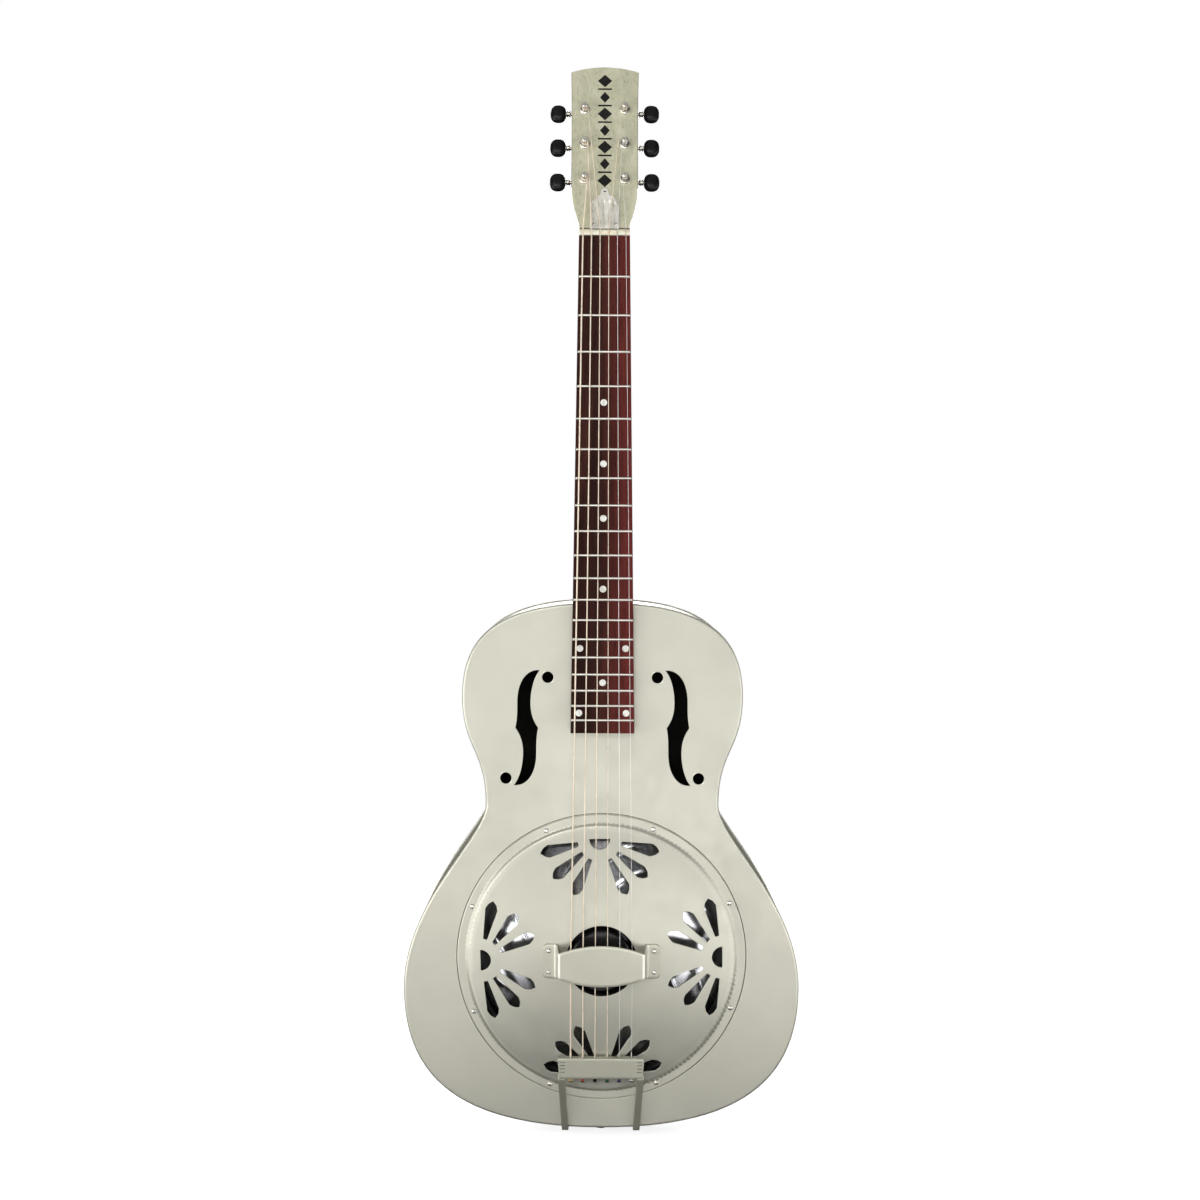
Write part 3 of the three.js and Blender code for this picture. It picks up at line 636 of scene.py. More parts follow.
def body_outline(steps=26):
    (uw, uz), (ww, wz), (lw, lz) = UPPER_BOUT, WAIST, LOWER_BOUT
    top, end = BODY_TOP_Z, BODY_END_Z
    right = cubic((0, top), (90, top), (uw, uz + 57), (uw, uz), steps)
    right += cubic((uw, uz), (uw, uz - 46), (ww, wz + 48), (ww, wz), steps)
    right += cubic((ww, wz), (ww, wz - 30), (lw, lz + 78), (lw, lz), steps)
    right += cubic((lw, lz), (lw, lz - 85), (124, end), (0, end), steps)
    return mirrored(right + [Vector((0, end))])


def f_hole(side):
    """An f-hole, drawn about its middle as a half that is turned over for the other half."""
    half = cubic((11.4, 51.3), (-1, 52), (-8.6, 40), (-8.4, 22), 12)
    half += quadratic((-8.4, 22), (-8.2, 8), (-10, 0), 6)
    half += quadratic((-10, 0), (-3.2, -9), (-3.2, -22), 8)
    half += cubic((-3.2, -22), (-3.2, -34), (-6.5, -46), (-11.4, -51.3), 12)
    loop = half + [-p for p in half]
    x, z = F_HOLE
    return anticlockwise([Vector((side * (x - p.x), z + p.y)) for p in loop])


def head_outline(start, steps=14):
    flare = NUT_WIDTH / 2
    top = HEAD_HALF + 0.6
    right = quadratic((0, HEAD_LENGTH + HEAD_ARCH), (top / 2, HEAD_LENGTH + HEAD_ARCH),
                      (top, HEAD_LENGTH), steps)
    right += quadratic((top, HEAD_LENGTH), (HEAD_HALF - 0.6, 100), (HEAD_HALF, 46), steps)
    right += cubic((HEAD_HALF, 46), (HEAD_HALF, 27), (flare + 1, 18), (flare, 5.4), steps)
    return mirrored(right + [Vector((flare, start)), Vector((0, start))])


# ---- pierced sheet metal ----
CLEAR = 1.2  # from a sheet's rounded edge to the rest of its mesh


def inside(loop, points):
    """Which of an array of points lie inside a loop."""
    ring = np.array([(p.x, p.y) for p in loop])
    ahead = np.roll(ring, -1, axis=0)
    found = np.zeros(len(points), bool)
    for (x0, z0), (x1, z1) in zip(ring, ahead):
        if z0 == z1:
            continue
        spans = (z0 > points[:, 1]) != (z1 > points[:, 1])
        found ^= spans & (points[:, 0] < (x1 - x0) * (points[:, 1] - z0) / (z1 - z0) + x0)
    return found


def arc_lip(radius, thick, depth=None, steps=5):
    """A sheet's edge as (distance in from the edge, depth): rounded over, then back underneath.

    depth is how far down the edge reaches, where that is more than the sheet's thickness.
    """
    depth = depth or thick
    support = radius + CLEAR
    rows = [(support, 0.0), (radius + 0.5, 0.0)]
    for k in range(steps + 1):
        a = math.pi / 2 * k / steps
        rows.append((radius * (1 - math.sin(a)), radius * (1 - math.cos(a))))
    rows += [(0.0, depth)] if depth > radius + 0.01 else []
    under = min(thick, support)
    rows += [(under, depth)] if depth > thick + 0.01 else []
    rows.append((support, thick))
    return rows


def pierced_sheet(outer, holes, lift, rim, hole_rim, fill=(), toward=-1):
    """A sheet between an outer loop and holes, with their edges shaped as rim and hole_rim say.

    lift(x, z) is the height of its outer face along toward * y, and fill is extra points.
    """
    loops = [(outer, -1, rim)] + [(hole, 1, hole_rim) for hole in holes]
    edge_rows = [[grown(loop, way * inset) for inset, _ in rows] for loop, way, rows in loops]
    flat, links = [], []
    for rows in edge_rows:
        start = len(flat)
        flat += rows[0]
        links += [(start + i, start + (i + 1) % len(rows[0])) for i in range(len(rows[0]))]
    if len(fill):
        points = np.array(fill)
        keep = inside(grown(edge_rows[0][0], -CLEAR), points)
        for rows in edge_rows[1:]:
            keep &= ~inside(grown(rows[0], CLEAR), points)
        flat += [Vector(p) for p in points[keep]]
    found = delaunay_2d_cdt(flat, links, [], 0, 1e-5)
    spots, triangles, origin = found[0], found[2], found[3]
    where = {i: k for k, ids in enumerate(origin) for i in ids}
    middles = np.array([sum((spots[i] for i in t), Vector((0, 0))) / 3 for t in triangles])
    keep = inside(edge_rows[0][0], middles)
    for rows in edge_rows[1:]:
        keep &= ~inside(rows[0], middles)
    faces = [tuple(t) for t, good in zip(triangles, keep) if good]

    def at(p, depth):
        return Vector((p.x, toward * (lift(p.x, p.y) - depth), p.y))

    thick = rim[-1][1]
    verts = [at(p, 0) for p in spots] + [at(p, thick) for p in spots]
    n = len(spots)
    faces += [tuple(n + i for i in t)[::-1] for t in faces]
    start = 0
    for (_, _, profile), rows in zip(loops, edge_rows):
        count = len(rows[0])
        ring = [where[start + i] for i in range(count)]
        rings = [ring]
        for points, (_, depth) in list(zip(rows, profile))[1:-1]:
            rings.append(list(range(len(verts), len(verts) + count)))
            verts += [at(p, depth) for p in points]
        faces += strips(rings + [[n + i for i in ring]])
        start += count
    return verts, faces


def shaded(made, place, lift, toward=-1):
    """Gives the outer face of a pierced sheet the smooth normals of its height."""
    step = 0.05
    normals = []
    for vertex in made.data.vertices:
        local = place.inverted() @ (vertex.co / MM)
        x, z = local.x, local.z
        on_face = abs(toward * local.y - lift(x, z)) < 0.01
        lean_x = (lift(x + step, z) - lift(x - step, z)) / (2 * step)
        lean_z = (lift(x, z + step) - lift(x, z - step)) / (2 * step)
        normal = Vector((-lean_x, toward, -lean_z)).normalized()
        normals.append(normal if on_face else Vector((0, 0, 0)))
    made.data.normals_split_custom_set_from_vertices(normals)


# ---- body ----
def lined(made, facing):
    """Gives the faces that facing(centre, normal) picks a near-black bare steel: the inside's bare
    metal, drawn near black as painted shade.
    """
    made.data.materials.append(BARE_STEEL_IN_SHADE)
    for face in made.data.polygons:
        face.material_index = int(facing(face.center / MM, face.normal))


def body_shell():
    outline = body_outline()
    rim = arc_lip(RIM, PLATE, RIM_DEPTH)
    well = circle(0, CONE_Z, WELL_R, 96)
    small = [circle(side * x, z, SMALL_HOLE_R, 28) for side in (-1, 1) for x, z in SMALL_HOLES]
    holes = [well, f_hole(-1), f_hole(1)] + small

    def face(x, z):
        off = abs(math.hypot(x, z - CONE_Z) - COVER_GROOVE_R)
        return -FACE_Y - 0.8 * min(1, max(0, (0.42 - off) / 0.14))

    # Picks the faces for the near-black steel: the inner faces, as painted shade.
    def painted_shade_faces(centre, normal):
        # painted shadow: the groove's bottom gets the near-black steel, drawn as a dark line round
        # the cover
        in_groove = abs(math.hypot(centre.x, centre.z - CONE_Z) - COVER_GROOVE_R) < 0.3
        return centre.y < FACE_Y + 2 and (normal.y > 0.5 or in_groove)

    offsets = (-1.3, -0.42, -0.28, 0.28, 0.42, 1.1, 2.0)
    rings = [(p.x, p.y) for r in offsets for p in circle(0, CONE_Z, COVER_GROOVE_R + r, 240)]
    verts, faces = pierced_sheet(outline, holes, face, rim, arc_lip(0.4, PLATE), rings)
    top = piece("body_top", verts, faces, PAINT, slot="body_paint", nodes=["top_plate"])
    shaded(top, Matrix(), lambda x, z: -FACE_Y)
    lined(top, painted_shade_faces)
    verts, faces = pierced_sheet(outline, [], lambda x, z: BACK_Y, rim, None, toward=1)
    back = piece("body_back", verts, faces, SHADED_SIDE_PAINT, slot="body_paint", nodes=["back_plate"])
    shaded(back, Matrix(), lambda x, z: BACK_Y, toward=1)
    # the back's inner face gets the near-black steel: painted shade
    lined(back, lambda centre, normal: normal.y < -0.5 and centre.y > BACK_Y - 2)

    out, into = 1.2, 1.2 + PLATE
    front, end = FACE_Y + 3.2, BACK_Y - 3.2
    loops = [(grown(outline, -inset), y)
             for inset, y in ((out, front), (out, end), (into, end), (into, front))]
    rings = [[Vector((loop[i].x, y, loop[i].y)) for loop, y in loops] for i in range(len(outline))]
    side = piece("body_side", *skin(rings, wrap=True), SHADED_SIDE_PAINT, slot="body_paint",
                 nodes=["side_band"])
    middle = Vector((0, 0, -560))
    # the side band's inner faces get the near-black steel: painted shade
    lined(side, lambda c, n: n.dot(Vector((c.x, 0, c.z)) - middle) < 0 and abs(n.y) < 0.5)


def spiral(radius, angle):
    """The cone's narrow spiral ribs, fading out at its flat middle and rim."""
    strength = smooth(radius, 24, 40) * (1 - smooth(radius, 100, 108))
    return -0.5 * strength * max(0, math.sin(15 * angle + radius / 5)) ** 10


def cone_parts():
    slope = [(20 + 91 * k / 60, -2 + 20.5 * (k / 60) ** 1.04) for k in range(1, 61)]
    upper = [(0, -4), (8, -4), (17, -4), (20, -2)] + slope + [(113, 20.6), (119, 20.6)]
    under = [(radius, y + 0.9) for radius, y in reversed(upper)]
    verts, faces = turned(upper + under[:-1] + [(0, -3.1)], 360, spiral)
    piece("spun_cone", verts, faces, ALUMINIUM, slot="spun_aluminium", nodes=["cone"], place=CONE)
    profile = [(107.5, 23), (121.2, 23), (121.7, 22.5), (121.7, 2.7), (126.7, 2.7), (126.7, 1.5),
               (121.5, 1.5), (120.8, 1.9), (120.5, 2.6), (120.5, 21.8), (107.5, 21.8)]
    well = piece("cone_well_ring", *turned(profile, 96), PAINT, slot="body_paint",
                 nodes=["cone_well"], place=CONE)
    # the whole well ring gets the near-black steel: painted shade
    lined(well, lambda centre, normal: True)
    rim = 27.0
    profile = [(0, -13.5), (rim - 1.2, -13.5), (rim, -12.3), (rim, -5.3), (rim - 1, -4.3),
               (0, -4.3)]
    biscuit = piece("biscuit_disc", *turned(profile, 72), EBONISED, slot="ebonised_wood",
                    nodes=["biscuit"], place=CONE)
    carve(biscuit, (*round_box((-40, -15, -1.9), (40, -9.5, 1.9)), CONE))


def string_x(index, spread):
    return (index / 5 - 0.5) * spread


def crown(x):
    return SADDLE_HEIGHT - SADDLE_ARCH * (x / SADDLE_HALF) ** 2


def notched(xs, spread, seats, top, width):
    """The height over x of an edge with a rounded notch for each string."""
    heights = []
    for x in xs:
        height = top(x)
        for index, seat in enumerate(seats):
            off = abs(x - string_x(index, spread))
            if off < width:
                height = min(height, seat + (top(x) - seat) * (off / width) ** 3)
        heights.append(height)
    return heights


def saddle():
    steps = 232
    xs = [SADDLE_HALF * (2 * k / steps - 1) for k in range(steps + 1)]
    seats = [crown(string_x(i, SADDLE_SPREAD)) for i in range(6)]
    tops = notched(xs, SADDLE_SPREAD, seats, lambda x: crown(x) + 0.55, 1.1)
    rings = []
    for x, top in zip(xs, tops):
        foot = 9.8 if abs(x) < 26 else 13.8
        sides = [(foot, 1.6), (top - 1.2, 1.6), (top - 0.35, 1.1), (top, 0)]
        half = [Vector((x, -y, z)) for y, z in sides]
        rings.append(half + [Vector((p.x, p.y, -p.z)) for p in reversed(half[:-1])])
    piece("saddle_strip", *skin(rings), MAPLE, slot="maple", nodes=["saddle"], place=CONE)


# ---- cover plate ----
def cover_height(x, z):
    """Outer face above the top: a shallow dome, a short foot and a flat flange."""
    radius = math.hypot(x, z)
    dome = DOME_FOOT + 1.07 * (DOME_HEIGHT - DOME_FOOT) * (1 - min(1, radius / DOME_R) ** 2)
    return dome + (LAID - dome) * smooth(radius, DOME_R - 1.5, DOME_R + 1.5)


def petal(angle):
    """A slot of a fan, along the direction angle from the fan's focus."""
    along = Vector((math.cos(angle), math.sin(angle)))
    side = Vector((-along.y, along.x))
    path = [(19.5, 1.8), (46.5, 5.5), (51, 3.6), (54.2, 0)]
    right = [along * r - side * w for r, w in path]
    left = [along * r + side * w for r, w in path[-2::-1]]
    return rounded(right + left, 0.8, 3)


def fan_holes():
    holes = []
    for quarter in range(4):
        out = math.pi / 2 * quarter + COVER_TURN
        focus = FAN_REACH * Vector((math.cos(out), math.sin(out)))
        for spread in FAN_SPREADS:
            slot = petal(out + math.pi + math.radians(spread))
            holes.append([focus + p for p in slot])
        turn = [out + math.pi / 2 + math.pi * k / 20 for k in range(21)]
        moon = [focus + MOON_R * Vector((math.cos(a), math.sin(a))) for a in turn]
        holes.append(anticlockwise(moon))
    return holes


def polar_grid(radii):
    """Points about 4.2 mm apart on circles of these radii."""
    points = []
    for row, radius in enumerate(radii):
        steps = max(24, int(2 * math.pi * radius / 4.2))
        points += [(p.x, p.y) for p in circle(0, 0, radius, steps, row * 0.37)]
    return points


def cover():
    radii = [34 + 4.3 * k for k in range(20)] + [118 + 0.7 * k for k in range(8)]
    holes = [circle(0, 0, COVER_HOLE_R, 96)] + fan_holes()
    verts, faces = pierced_sheet(
        circle(0, 0, COVER_R, 180), holes, cover_height, arc_lip(0.7, SHEET),
        arc_lip(0.45, SHEET), polar_grid(radii),
    )
    made = piece("cover_dome", verts, faces, PAINT, slot="body_paint", nodes=["cover_plate"],
                 place=CONE)
    shaded(made, CONE, cover_height)
    for k, spot in enumerate(circle(0, 0, COVER_SCREW_R, 8, math.radians(22.5) + COVER_TURN)):
        screw(f"cover_screw_{k + 1}", CONE @ shift(spot.x, -LAID, spot.y), 2.3, k * 0.7)


def screw(name, place, radius, turn=0.0, cross=True):
    """A domed screw head standing on y = 0 of place, facing -y, with a cross or a single slot."""
    dome = [(0, -0.5), (0.45, -0.46), (0.75, -0.33), (0.95, -0.12), (1, 0)]
    profile = [(r * radius, y * radius) for r, y in dome] + [(radius, GAP), (0, GAP)]
    made = piece(name, *turned(profile, 24), NICKEL, slot="nickel", place=place)
    spun = place @ spin(turn, "Y")
    reach = 0.62 * radius if cross else 1.2 * radius
    width = 0.13 * radius
    cuts = [(*round_box((-reach, -radius, -width), (reach, -0.2 * radius, width)), spun)]
    if cross:
        cuts.append((*round_box((-width, -radius, -reach), (width, -0.2 * radius, reach)), spun))
    return carve(made, *cuts)


# ---- bent sheet pieces ----
def bent_sheet(path, half_width, thick, across, centre=None):
    """Sections of a strip along a 2D path on its outer face, as (distance across, point) pairs.

    half_width(i) is its half width at point i and centre(i) its offset. The sheet lies to the
    left of the path, and its long edges are rounded over by `across`.
    """
    count = len(path)
    drop = min(across, 0.75 * thick)
    sections = []
    for i, point in enumerate(path):
        ahead = (path[min(i + 1, count - 1)] - path[max(i - 1, 0)]).normalized()
        inward = Vector((-ahead.y, ahead.x))
        w = half_width(i)
        c = centre(i) if centre else 0
        edge = [(w, thick), (w, drop), (w - 0.3 * across, 0.3 * drop), (w - across, 0),
                (w - across - 0.5, 0), (w - across - 1.2, 0)]
        right = [(c + x, point + inward * d) for x, d in edge]
        left = [(c - x, point + inward * d) for x, d in reversed(edge)]
        sections.append(right + left)
    return sections


def arc_path(points, radius, steps=6):
    """An open path of 2D points with its bends rounded."""
    path = [Vector(points[0])]
    for before, corner, after in zip(points, points[1:], points[2:]):
        path += bend(before, corner, after, radius, steps, 0.48)
    return path + [Vector(points[-1])]


def hand_rest():
    """A bridge over the saddle: a bowed deck, two legs and two screwed feet."""
    foot_y = -(cover_height(44, 0) + LAID)
    turns = [math.pi / 2 * k / 6 for k in range(7)]
    half = [(-REST_END + REST_CORNER * (1 - math.cos(a)), foot_y) for a in turns]
    half += [(-40.4, foot_y), (-38.5, 0.6 - REST_DECK), (-REST_HALF, -REST_DECK)]
    left = arc_path(half, 2.6)
    middle = [Vector((REST_HALF * (2 * k / 24 - 1), -REST_DECK)) for k in range(1, 24)]
    path = left + middle + [Vector((-p.x, p.y)) for p in reversed(left)]

    def half_depth(i):
        x, y = abs(path[i].x), path[i].y
        if x > REST_HALF and y > 3 - REST_DECK:
            cut = max(0, REST_CORNER - (REST_END - x))
            rounding = REST_CORNER - math.sqrt(REST_CORNER**2 - cut**2)
            return 11 + 4.5 * min(1, max(0, (x - 38) / 3)) ** 0.7 - rounding
        return 11 + 7.2 * (1 - min(1, x / 38.5) ** 2)

    sections = bent_sheet(path, half_depth, SHEET, 2.0)
    rings = [[Vector((p.x, p.y, w)) for w, p in section] for section in sections]
    piece("hand_rest_bridge", *skin(rings), REST_PAINT, slot="body_paint", nodes=["hand_rest"],
          place=CONE)
    for side in (-1, 1):
        for up in (-1, 1):
            place = CONE @ shift(side * 46.5, foot_y, up * 9.5)
            screw(f"rest_screw_{side + 2}_{up + 2}", place, 2.1, side + up * 0.4)


TAIL_FRAME = shift(0, FACE_Y, 0)
TAIL_UPPER_Z = -723.1
TAIL_TOP = 16.2
TAIL_LOW_Z = BODY_END_Z - GAP
BALL_END_TONES = ((0.5, 0.36, 0.14), (0.36, 0.08, 0.07), (0.01, 0.01, 0.012), (0.04, 0.12, 0.07),
                  (0.08, 0.05, 0.16), (0.5, 0.5, 0.5))


def strip_rings(sections):
    """Sections of a bent sheet whose path lies in the guitar's middle plane."""
    return [[Vector((w, p.x, p.y)) for w, p in section] for section in sections]


def tailpiece_bar():
    """A flat bar over the strings' ends, its upper edge folded down, slotted for the strings."""
    corners = [(-10.6, TAIL_UPPER_Z), (-TAIL_TOP, TAIL_UPPER_Z), (-TAIL_TOP, -741.7)]
    fold = arc_path(corners, 1.8, 8)
    extra = [fold[-2].lerp(fold[-1], k / 8) for k in range(1, 8)]
    path = fold[:-1] + extra + fold[-1:]
    sections = bent_sheet(path, lambda i: 37 + 1.5 * (path[i].y + 742) / 19, 1.3, 0.6)
    bar = piece("tailpiece_bar", *skin(strip_rings(sections)), FITTING_PAINT, slot="body_paint",
                nodes=["tailpiece"], place=TAIL_FRAME, bevel=0.25)
    cuts = []
    for index in range(6):
        x = string_x(index, SADDLE_SPREAD)
        cuts.append((*round_box((x - 1.1, -13.5, -728), (x + 1.1, -8, -718)), TAIL_FRAME))
    for side in (-1, 1):
        for k in range(4):
            z = -726.6 - 3.05 * k
            low, high = sorted((side * 32, side * 36.4))
            cuts.append((*round_box((low, -18, z - 0.35), (high, -12, z + 0.35)), TAIL_FRAME))
    carve(bar, *cuts)


def tailpiece_legs():
    """Two long legs that spread apart down to the body's end, and the pad they stand on."""
    end = TAIL_LOW_Z
    outer = [(-14.9, -738.7), (-16.1, -742.2), (-15.4, -744.7), (-3.2, end + 3.2),
             (-1.4, end - 1.2), (2.5, end - 1.35), (50, end - 1.35)]
    path = arc_path(outer, 2.0)
    for side in (-1, 1):
        def centre(i, side=side):
            return side * (79.5 + 0.06 * max(end, path[i].y))
        sections = bent_sheet(path, lambda i: 3.0, 1.25, 0.5, centre=centre)
        piece(f"tailpiece_leg_{side + 2}", *skin(strip_rings(sections)), FITTING_PAINT,
              slot="body_paint", place=TAIL_FRAME)
    pad = rounded([(-34, 30), (34, 30), (34, 50), (-34, 50)], 5, 6)
    rings = [[Vector((p.x, FACE_Y + p.y, z)) for p in grown(pad, inset)]
             for z, inset in ((end, 0), (end - 0.9, 0), (end - 1.2, -0.35))]
    piece("tailpiece_foot", *skin(rings), FITTING_PAINT, slot="body_paint")


def ball_ends():
    """The strings' coloured ball ends, hooked behind the tailpiece's bar."""
    profile = [(1.0, -1.6), (1.9, -1.6), (2.1, -1.2), (2.1, 1.2), (1.9, 1.6), (1.0, 1.6)]
    for index, tone in enumerate(BALL_END_TONES):
        x = string_x(index, SADDLE_SPREAD)
        spot = shift(x, FACE_Y - TAIL_HEIGHT, TAIL_Z - 0.6)
        look = nickel(f"ball_end_colour_{index + 1}", tone, 0.35)
        piece(f"ball_end_{index + 1}", *turned(profile, 20), look, slot="steel",
              place=spot @ spin(math.pi / 2, "Z"))


def strap_button():
    profile = [(0, 0), (6, 0), (6, 1.5), (4.2, 2.6), (3.6, 4.5), (3.7, 6.5), (4.8, 8.8), (7.1, 9.9),
               (7.5, 10.6), (7.4, 11.6), (6.4, 12.6), (4.5, 13.2), (2.2, 13.45), (0, 13.5)]
    place = shift(0, 19, BODY_END_Z - 2.6) @ spin(-math.pi / 2, "X")
    made = piece("strap_button_turned", *turned(profile, 48), NICKEL, slot="nickel",
                 nodes=["strap_button"], place=place)
    cuts = [(*round_box((-2.6, 12.4, -0.35), (2.6, 15, 0.35)), place),
            (*round_box((-0.35, 12.4, -2.6), (0.35, 15, 2.6)), place)]
    carve(made, *cuts)


# ---- neck ----
def board_half(s):
    return (NUT_WIDTH + (BOARD_END_WIDTH - NUT_WIDTH) * s / BOARD_LENGTH) / 2


def smooth(value, low, high):
    t = min(1, max(0, (value - low) / (high - low)))
    return t * t * (3 - 2 * t)


def neck_ring(half, front, depth, squareness, place, z, arch=0.0, steps=22):
    """A closed section: a flat front and a rounded back whose corners sharpen with squareness."""
    power_x = 0.75 + (0.1 - 0.75) * squareness
    power_y = 0.85 + (0.1 - 0.85) * squareness
    front_row, back_row = [], []
    for k in range(steps + 1):
        a = math.pi * k / steps
        u = math.copysign(abs(math.cos(a)) ** power_x, math.cos(a))
        v = abs(math.sin(a)) ** power_y
        lift = arch * (1 - u * u)
        front_row.append(place @ Vector((half * u, front, z + lift)))
        back_row.append(place @ Vector((half * u, front + depth * v, z + lift)))
    return front_row + back_row[-2:0:-1]


def head_half(z):
    """Half the head's width at a height above the nut."""
    if z >= 46:
        t = (z - 46) / (HEAD_LENGTH - 46)
        return HEAD_HALF - 1.2 * t + 1.8 * t * t
    t = smooth(z, 5.4, 50)
    return NUT_WIDTH / 2 + (HEAD_HALF - NUT_WIDTH / 2) * (0.75 * t + 0.25 * t * t)


def neck():
    rings = []
    for k in range(36):
        s = NECK_END - (NECK_END - 4) * k / 35
        heel = smooth(s, 265.5, 321.5) ** 1.5
        depth = -NUT_Y + 0.009 * s + 40 * heel - UNDER_BOARD
        half = board_half(s) * (1 - 0.35 * 0.35 * heel)
        rings.append(neck_ring(half, UNDER_BOARD, depth, 0, NECK, -s))
    for k in range(1, 9):
        t = k / 9
        z = -4 + (HEAD_ROOT + 4) * t
        turn = smooth(t, 0, 1)
        place = NECK @ shift(0, HEAD_DROP * turn, 0) @ spin(-HEAD_TILT * turn, "X")
        front = UNDER_BOARD + (UNDER_VENEER - UNDER_BOARD) * smooth(z, 1, 7)
        bottom = -NUT_Y * (1 - turn) + (HEAD_THICK + 1.5) * turn
        half = head_half(max(z, 5.4))
        rings.append(neck_ring(half, front, bottom - front, turn ** 1.5, place, z))
    for k in range(24):
        z = HEAD_ROOT + (HEAD_LENGTH - HEAD_ROOT) * k / 23
        arch = HEAD_ARCH * 0.5 * smooth(z, 120, HEAD_LENGTH)
        depth = HEAD_THICK + 1.5 * (1 - smooth(z, HEAD_ROOT, 40)) - UNDER_VENEER
        rings.append(neck_ring(head_half(z), UNDER_VENEER, depth, 1, HEAD, z, arch))
    n = len(rings[0])
    verts, faces = skin(rings, caps=False)
    for base, flip in ((0, True), ((len(rings) - 1) * n, False)):
        for k in range(n // 2):
            quad = (base + k, base + k + 1, base + (n - k - 1) % n, base + (n - k) % n)
            face = tuple(dict.fromkeys(quad))
            faces.append(face[::-1] if flip else face)
    made = piece("neck_and_head", verts, faces, MAHOGANY, slot="mahogany", nodes=["neck"], sharp=45)
    bores = []
    for x, z in post_places():
        place = HEAD @ shift(x, 0, z)
        bores.append((*turned([(0, -5), (BORE_R, -5), (BORE_R, 30), (0, 30)], 24), place))
    carve(made, *bores)
    tongue = round_box((-19, UNDER_BOARD, -432.5), (19, 14, -318))
    piece("neck_tongue", *tongue, MAHOGANY, slot="mahogany", place=NECK, bevel=1.0)


def post_places():
    return [(-POST_X, z) for z in POST_Z] + [(POST_X, z) for z in reversed(POST_Z)]


def fret_z(number):
    return -SCALE * (1 - 2 ** (-number / 12))


def fingerboard():
    rings = []
    for z in [-GAP - (BOARD_LENGTH - GAP) * k / 40 for k in range(41)]:
        half = board_half(-z)
        section = [(half, BOARD_THICK), (half, 0.6), (half - 0.18, 0.18), (half - 0.6, 0)]
        right = [Vector((x, y, z)) for x, y in section]
        rings.append(right + [Vector((-p.x, p.y, p.z)) for p in reversed(right)])
    piece("rosewood_board", *skin(rings), ROSEWOOD, slot="rosewood", nodes=["fingerboard"],
          place=NECK)


def frets():
    """Round-topped wires whose ends slope down to the board's edges."""
    slope = ((0, 0.02), (0.25, 0.55), (0.9, 1.05), (1.6, 1.1))
    arc = [math.pi * k / 8 for k in range(9)]
    for number in range(1, FRETS + 1):
        half = board_half(-fret_z(number)) - 0.35
        heights = [(into - half, height) for into, height in slope]
        heights += [(-x, height) for x, height in reversed(heights)]
        rows = [[Vector((x, -height * math.sin(a), 1.1 * math.cos(a))) for a in arc]
                for x, height in heights]
        piece(f"fret_{number}", *skin(rows), FRET_WIRE, slot="nickel",
              place=NECK @ shift(0, 0, fret_z(number)))


def dots():
    profile = [(0, -0.06), (2.9, -0.06), (3.05, 0.1), (3.05, 0.6), (0, 0.6)]
    for number, xs in DOTS.items():
        z = (fret_z(number) + fret_z(number - 1)) / 2
        for k, x in enumerate(xs):
            piece(f"dot_{number}_{k + 1}", *turned(profile, 28), PEARL_DOT, slot="pearloid",
                  place=NECK @ shift(x, 0, z))


def nut():
    half = NUT_WIDTH / 2 - 0.15
    steps = 220
    xs = [half * (2 * k / steps - 1) for k in range(steps + 1)]
    tops = notched(xs, NUT_SPREAD, [NUT_SLOT] * 6, lambda x: NUT_TOP - 0.5 * (x / half) ** 4, 0.8)
    rings = []
    for x, top in zip(xs, tops):
        rows = [(-6, 0.1), (top - 0.2, 0.1), (top, 0.4), (top, 2.6), (top - 0.45, 4.2),
                (top - 1.1, 4.85), (-6, 4.85)]
        rings.append([Vector((x, -y, z)) for y, z in rows])
    piece("bone_nut", *skin(rings), BONE, slot="bone", nodes=["nut"], place=NECK)


def veneer():
    outline = grown(head_outline(5.6), -0.35)
    holes = [circle(x, z, 4.5, 32) for x, z in post_places()]
    verts, faces = pierced_sheet(outline, holes, lambda x, z: 0.0, arc_lip(0.3, VENEER),
                                 arc_lip(0.1, VENEER))
    piece("pearl_head_sheet", verts, faces, PEARL, slot="pearloid",
          nodes=["headstock_veneer"], place=HEAD)


def inlays():
    """A column of diamonds, large and small by turns, with a short bar between each two."""
    shapes = []
    for k in range(7):
        z = 52.5 + INLAY_PITCH * k
        wide, tall = (6.4, 6.2) if k % 2 == 0 else (4.4, 5.4)
        shapes.append([Vector(p) for p in ((-wide, z), (0, z - tall), (wide, z), (0, z + tall))])
    for k in range(6):
        low, high = (60.55 + INLAY_PITCH * k + off for off in (-0.8, 0.8))
        shapes.append(rounded([(-6.2, low), (6.2, low), (6.2, high), (-6.2, high)], 0.7, 3))
    solids = [skin([[Vector((p.x, y, p.y)) for p in shape] for y in (0.5, -0.05)])
              for shape in shapes]
    piece("head_inlays", *merged(*solids), INLAY, slot="black_button", place=HEAD)


